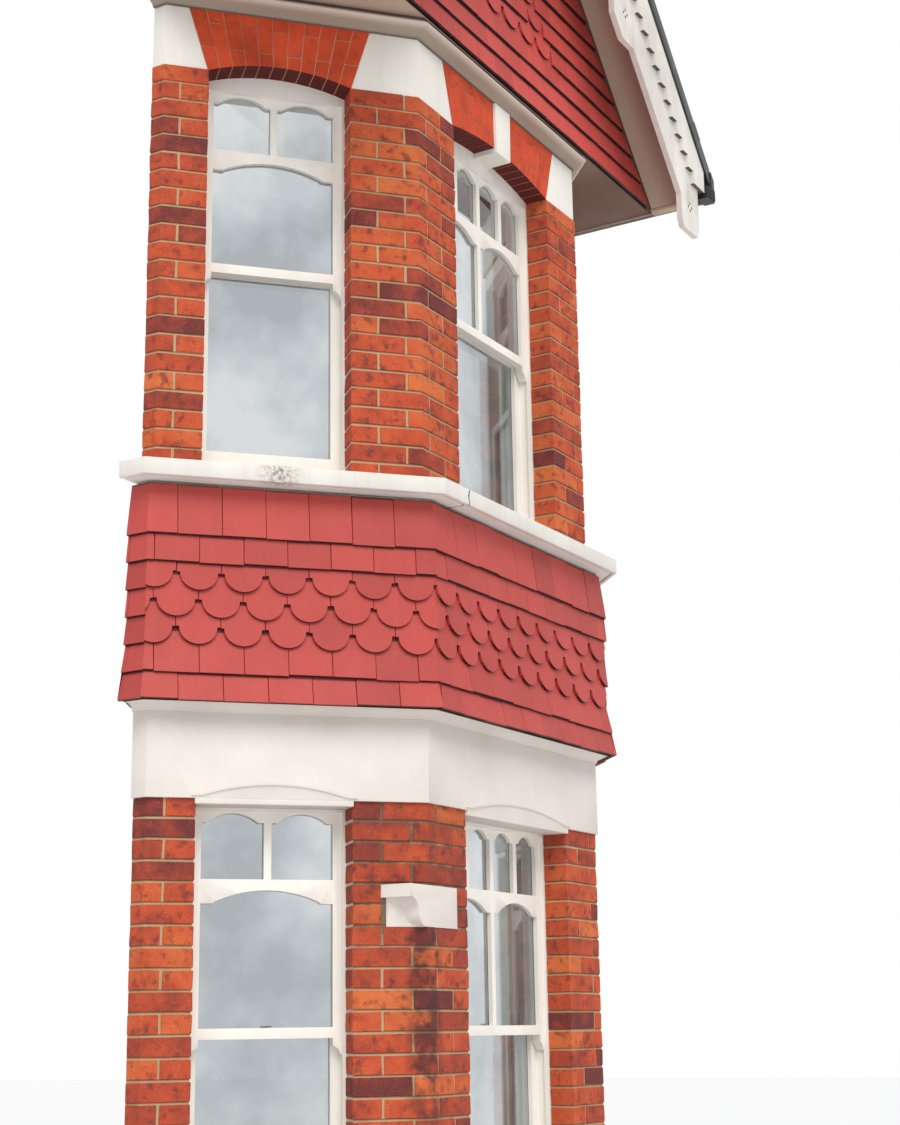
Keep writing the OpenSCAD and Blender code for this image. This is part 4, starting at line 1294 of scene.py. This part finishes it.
class BAY_OT_roof(bpy.types.Operator):
    """Lays the roof tiles and ridge tiles, and finishes the verges, soffits and gutters"""
    bl_idname = "bay.roof"
    bl_label = "Roof"

    def execute(self, context):
        look = context.scene.bay_roof
        clay = roof_finish(look)
        self.slopes(look, clay)
        self.ridge(clay)
        pale_cream = scaled(context.scene.bay_paint.cream, 1.35)
        plaster = plain_finish(
            "verge_plaster", pale_cream, (0.30, 0.22, 0.18), 0.5, 0.85, grainy=0.2, relief=0.004)
        # Painted shade: the verge soffit darkens towards the bargeboard, with a painted shadow line along
        # the edge of the tiles.
        paint_shading_along(plaster, "Y", 0.90, [
            (-0.500, (0.23, 0.12, 0.095)), (-0.400, (0.36, 0.24, 0.185)), (-0.330, (0.49, 0.40, 0.30)),
            (-0.2835, (0.50, 0.42, 0.31)), (-0.281, (0.06, 0.025, 0.020))])
        dress_nodes(plaster, "verge_soffit_left", "verge_soffit_right")
        boards = plain_finish(
            "eaves_soffit", pale_cream, (0.14, 0.09, 0.07), 0.5, 0.85, grainy=0.2, relief=0.003)
        # Painted shade: the eaves soffit darkens towards its right-hand end.
        paint_shading_along(boards, "X", 0.92, [
            (-0.9, (0.50, 0.36, 0.28)), (0.3, (0.40, 0.27, 0.21)), (1.0, (0.15, 0.082, 0.062))])
        dress_nodes(boards, "soffit")
        cream = plain_finish("eaves_cream", (0.60, 0.48, 0.38), (0.26, 0.18, 0.13), 0.5, 0.7, grainy=0.2)
        self.eaves_mouldings(cream)
        black = plain_finish(
            "black_plastic", (0.012, 0.012, 0.014), (0.09, 0.085, 0.08), 0.35, 0.38, relief=0.0005)
        for side in ("left", "right"):
            eased("verge_trim_" + side, 0.004, black, "black_plastic", segments=2)
        self.trim_parts(black)
        dress_nodes(black, "gutters")
        timber = plain_finish(
            "bare_timber", (0.36, 0.22, 0.11), (0.16, 0.09, 0.05), 0.4, 0.8,
            grainy=0.3, streaky=0.2, relief=0.002)
        dress_nodes(timber, "gable_wall", "ground_floor", "first_floor")
        return {"FINISHED"}

    def eaves_mouldings(self, cream):
        """Two small rolls close the low end of each verge soffit."""
        low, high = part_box("verge_soffit_right")
        end, foot = high.x - 0.0008, low.z
        root, neck = end - 0.038, end - 0.030
        outline = [(root + 0.0005, foot + 0.040)]
        for middle, radius in ((foot + 0.028, 0.010), (foot - 0.004, 0.012)):
            for step in range(7):
                turn = math.pi * step / 6
                outline.append((root - radius * math.sin(turn), middle + radius * math.cos(turn)))
            outline.append((neck, middle - radius - 0.001))
        outline += [(end, foot - 0.018), (end, foot + 0.001)]
        length = high.y - low.y - 0.027
        moulding = prism("moulding", [(x, low.y + 0.0004, z) for x, z in outline], (0, length, 0))
        piece = lay("eaves_mouldings", [(moulding, Matrix.Identity(4), 0.0), (moulding, MIRROR, 0.0)])
        drop(moulding)
        complete(piece, cream, "cornice_paint")

    def trim_parts(self, black):
        """The verge trims have a joint sleeve near their low ends and a ridged end cap."""
        low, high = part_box("verge_trim_right")
        x, y, z = high.x, low.y, low.z
        thick = (high.z - x * math.tan(PITCH) - z) * math.cos(PITCH)
        top = Vector((0, y - 0.002, high.z))
        proud = 0.002
        sleeve_start, sleeve_end = 2.025, 2.125
        upper, lower = OFF_SLOPE * proud, OFF_SLOPE * -(thick + proud)
        start, end = DOWN_SLOPE * sleeve_start, DOWN_SLOPE * sleeve_end
        around = [top + start + upper, top + end + upper, top + end + lower, top + start + lower]
        sleeve = prism("sleeve", around, (0, 0.0105, 0), 0.001)
        outline = [(-0.052, -0.072), (0.040, -0.072), (0.040, 0.052),
                   (0.001, 0.090), (0.001, -0.004), (-0.052, -0.004)]
        cap = prism("cap", [(x + a, y - 0.005, z + b) for a, b in outline], (0, 0.060, 0), 0.003)
        rib = block("rib", (0, -0.005, 0), (0.007, 0.004, 0.058), 0.002)
        rib_count, rib_space = 5, 0.017
        places = []
        for side in (Matrix.Identity(4), MIRROR):
            places += [(sleeve, side, 0.0), (cap, side, 0.0)]
            for i in range(rib_count):
                at = shift(x - 0.044 + rib_space * i, y - 0.006, z - 0.066 + jitter(0.003))
                places.append((rib, side @ at, 0.0))
        piece = lay("verge_trim_parts", places)
        drop(sleeve, cap, rib)
        complete(piece, black, "black_plastic")

    def roof_tile(self, look, long):
        """One double roll tile, its head at x 0 and its tail down the slope."""
        side_lap, roll_height = 0.012, 0.009
        deselect()
        bpy.ops.mesh.primitive_grid_add(x_subdivisions=2, y_subdivisions=16, size=1)
        tile = bpy.context.object
        for vert in tile.data.vertices:
            u, v = vert.co.x + 0.5, vert.co.y + 0.5
            vert.co = (u * long, v * (look.width + side_lap), roll_height * math.cos(v * 4 * math.pi))
        thicken = tile.modifiers.new("Thickness", "SOLIDIFY")
        thicken.thickness = 0.013
        thicken.offset = -1
        only(tile)
        bpy.ops.object.modifier_apply(modifier=thicken.name)
        return tile

    def slopes(self, look, clay):
        low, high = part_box("roof_right")
        length = (high.x - low.x) / math.cos(PITCH)
        head_lap, tail_lift, head_depth = 0.075, 0.020, 0.038
        long = look.gauge + head_lap
        apex = Vector((0, 0, high.z))
        tile = self.roof_tile(look, long)
        tilt = Matrix.Rotation(-math.atan(tail_lift / long), 4, "Y")
        down, off = DOWN_SLOPE, OFF_SLOPE
        places = []
        for row in range(int(length / look.gauge) + 1):
            head = apex + down * (length - row * look.gauge - long) - off * head_depth
            y = low.y - (0.5 * look.width if row % 2 else 0)
            while y < high.y:
                at = Matrix((
                    (down.x, 0, off.x, head.x), (0, 1, 0, y), (down.z, 0, off.z, head.z), (0, 0, 0, 1)))
                loose = shift(jitter(0.002), jitter(0.001), jitter(0.001))
                places.append((tile, at @ tilt @ loose, TIDY.random()))
                y += look.width
        for side in ("right", "left"):
            sign = 1 if side == "right" else -1
            piece = lay("roof_tiles_" + side, [(m, on_side(at, side), tone) for m, at, tone in places])
            trim_at_back(piece)
            trim(piece, (0, low.y + 0.001, 0), (0, -1, 0))
            trim(piece, (sign * 0.002, 0, 0), (-sign, 0, 0))
            bpy.ops.object.shade_smooth_by_angle(angle=math.radians(35))
            complete(piece, clay, "roof_tile")
            self.underlay(side, sign, apex, length, low.y, clay)
        drop(tile)

    def underlay(self, side, sign, apex, length, front, clay):
        """A thin bed under the tiles of one slope."""
        points = []
        top, bottom = 0.042, 0.060
        for depth, u in ((top, 0.0), (top, length), (bottom, length), (bottom, 0.0)):
            point = apex - OFF_SLOPE * depth + DOWN_SLOPE * u
            points.append((sign * max(point.x, 0.001), front + 0.002, point.z))
        bed = prism("roof_underlay_" + side, points, (0, BACK_Y - front - 0.003, 0))
        complete(bed, clay, "roof_tile", "roof_" + side)

    def ridge(self, clay):
        """Half-round tiles along the ridge, with mortar in their joints."""
        low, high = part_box("ridge_tiles")
        radius = (high.x - low.x) / 2
        centre_z = high.z - radius
        thick, joint, bed_long = 0.016, 0.008, 0.020
        count = 3
        each = (high.y - low.y) / count

        def arc(size, first, sweep):
            turns = [math.radians(first + sweep * step / 12) for step in range(13)]
            return [(size * math.cos(turn), 0, size * math.sin(turn)) for turn in turns]

        places = []
        for i in range(count):
            rim = arc(radius, -14, 208) + arc(radius - thick, -14, 208)[::-1]
            tile = prism("ridge_tile", rim, (0, each - joint, 0), 0.002)
            start = low.y + i * each + joint / 2
            at = shift(jitter(0.003), start, centre_z - 0.002 + jitter(0.002))
            places.append((tile, at, TIDY.random()))
        for i in range(1, count):
            bed = prism("ridge_bed", arc(radius - 0.006, -12, 204), (0, bed_long, 0))
            places.append((bed, shift(0, low.y + i * each - bed_long / 2, centre_z - 0.003), 1.0))
        piece = lay("ridge_tile_run", places)
        drop(*(master for master, matrix, tone in places))
        complete(piece, clay, "roof_tile", "ridge_tiles")


# Stage

class BayStageSettings(bpy.types.PropertyGroup):
    floor: FloatVectorProperty(
        name="Floor", description="Colour of the pale floor",
        default=(0.80, 0.80, 0.79), size=3, subtype="COLOR")
    key: FloatProperty(
        name="Key light", description="Strength of the soft key light", default=2.0)
    fill: FloatProperty(
        name="Sky light", description="Strength of the even light all round", default=0.75)


class BAY_OT_stage(bpy.types.Operator):
    """Makes the camera, the lights and the pale floor"""
    bl_idname = "bay.stage"
    bl_label = "Stage"

    def execute(self, context):
        scene = context.scene
        self.camera(scene)
        self.floor(tuple(scene.bay_stage.floor))
        self.key_light(scene)
        self.sky(scene)
        scene.view_settings.view_transform = "Standard"
        return {"FINISHED"}

    def camera(self, scene):
        """The photo's own view, from below the bay and to its left."""
        yaw, rise, roll = math.radians(59.94), math.radians(14.22), math.radians(-0.9)
        photo_width, focal_length = 900, 1868.8
        ahead = Vector((math.sin(yaw) * math.cos(rise), math.cos(yaw) * math.cos(rise), math.sin(rise)))
        flat = Vector((math.cos(yaw), -math.sin(yaw), 0))
        lift = flat.cross(ahead)
        right = flat * math.cos(roll) + lift * math.sin(roll)
        up = lift * math.cos(roll) - flat * math.sin(roll)
        data = bpy.data.cameras.new("photo_camera")
        data.sensor_fit = "HORIZONTAL"
        data.sensor_width = 36.0
        data.lens = focal_length / photo_width * data.sensor_width
        data.clip_start = 0.1
        data.clip_end = 200.0
        camera = bpy.data.objects.new("photo_camera", data)
        turned = Matrix((right, up, -ahead)).transposed().to_4x4()
        x, y, z = -6.6352, -3.5486, 1.6389
        camera.matrix_world = shift(x, y + FACE_Y, z) @ turned
        scene.collection.objects.link(camera)
        scene.camera = camera

    def floor(self, colour):
        material = bpy.data.materials.new("pale_floor")
        material.use_nodes = True
        shader = material.node_tree.nodes["Principled BSDF"]
        shader.inputs["Base Color"].default_value = (*colour, 1)
        shader.inputs["Roughness"].default_value = 0.95
        deselect()
        bpy.ops.mesh.primitive_plane_add(size=120, location=(0, 0, -0.001))
        ground = bpy.context.object
        ground.name = "floor"
        ground.data.materials.append(material)

    def key_light(self, scene):
        data = bpy.data.lights.new("soft_key", "SUN")
        data.energy = scene.bay_stage.key
        data.angle = math.radians(35)
        data.color = (1.0, 0.97, 0.93)
        sun = bpy.data.objects.new("soft_key", data)
        sun.rotation_euler = (math.radians(42), math.radians(-8), math.radians(-38))
        scene.collection.objects.link(sun)

    def sky(self, scene):
        """A faint blue light all round, which looks white to the camera, in glass and in gloss."""
        world = bpy.data.worlds.new("even_sky")
        world.use_nodes = True
        scene.world = world
        graph = Graph(world.node_tree)
        light = world.node_tree.nodes["Background"]
        light.inputs["Color"].default_value = (0.93, 0.96, 1.0, 1)
        light.inputs["Strength"].default_value = scene.bay_stage.fill
        white = graph.add("Background", Color=(1, 1, 1, 1), Strength=1.0)
        ray = graph.add("LightPath").outputs
        seen = graph.maths("MAXIMUM", ray["Is Glossy Ray"], ray["Is Transmission Ray"])
        blend = graph.add("MixShader")
        graph.feed(graph.maths("MAXIMUM", ray["Is Camera Ray"], seen), blend.inputs[0])
        graph.feed(light.outputs[0], blend.inputs[1])
        graph.feed(white.outputs[0], blend.inputs[2])
        graph.feed(blend.outputs[0], world.node_tree.nodes["World Output"].inputs["Surface"])


class BAY_PT_panel(bpy.types.Panel):
    """Shows the bay's settings and its steps in the sidebar"""
    bl_idname = "BAY_PT_panel"
    bl_label = "Bay"
    bl_space_type = "VIEW_3D"
    bl_region_type = "UI"
    bl_category = "Bay"

    def draw(self, context):
        for group in SETTINGS:
            settings = getattr(context.scene, group)
            box = self.layout.box()
            for name in settings.__annotations__:
                box.prop(settings, name)
        for step in STEPS:
            self.layout.operator(step.bl_idname)


SETTINGS = {
    "bay_brick": BayBrickSettings,
    "bay_arch": BayArchSettings,
    "bay_paint": BayPaintSettings,
    "bay_tile": BayTileSettings,
    "bay_roof": BayRoofSettings,
    "bay_stage": BayStageSettings,
}
STEPS = (
    BAY_OT_bricks, BAY_OT_arches, BAY_OT_stonework, BAY_OT_hung_tiles, BAY_OT_joinery, BAY_OT_roof,
    BAY_OT_stage,
)


def register():
    for kind in (*SETTINGS.values(), *STEPS, BAY_PT_panel):
        bpy.utils.register_class(kind)
    for name, kind in SETTINGS.items():
        setattr(bpy.types.Scene, name, PointerProperty(type=kind))


def unregister():
    for name in SETTINGS:
        delattr(bpy.types.Scene, name)
    for kind in (BAY_PT_panel, *reversed(STEPS), *SETTINGS.values()):
        bpy.utils.unregister_class(kind)


def main():
    register()
    bpy.ops.bay.bricks()
    bpy.ops.bay.arches()
    bpy.ops.bay.stonework()
    bpy.ops.bay.hung_tiles()
    bpy.ops.bay.joinery()
    bpy.ops.bay.roof()
    bpy.ops.bay.stage()


if __name__ == "__main__":
    main()
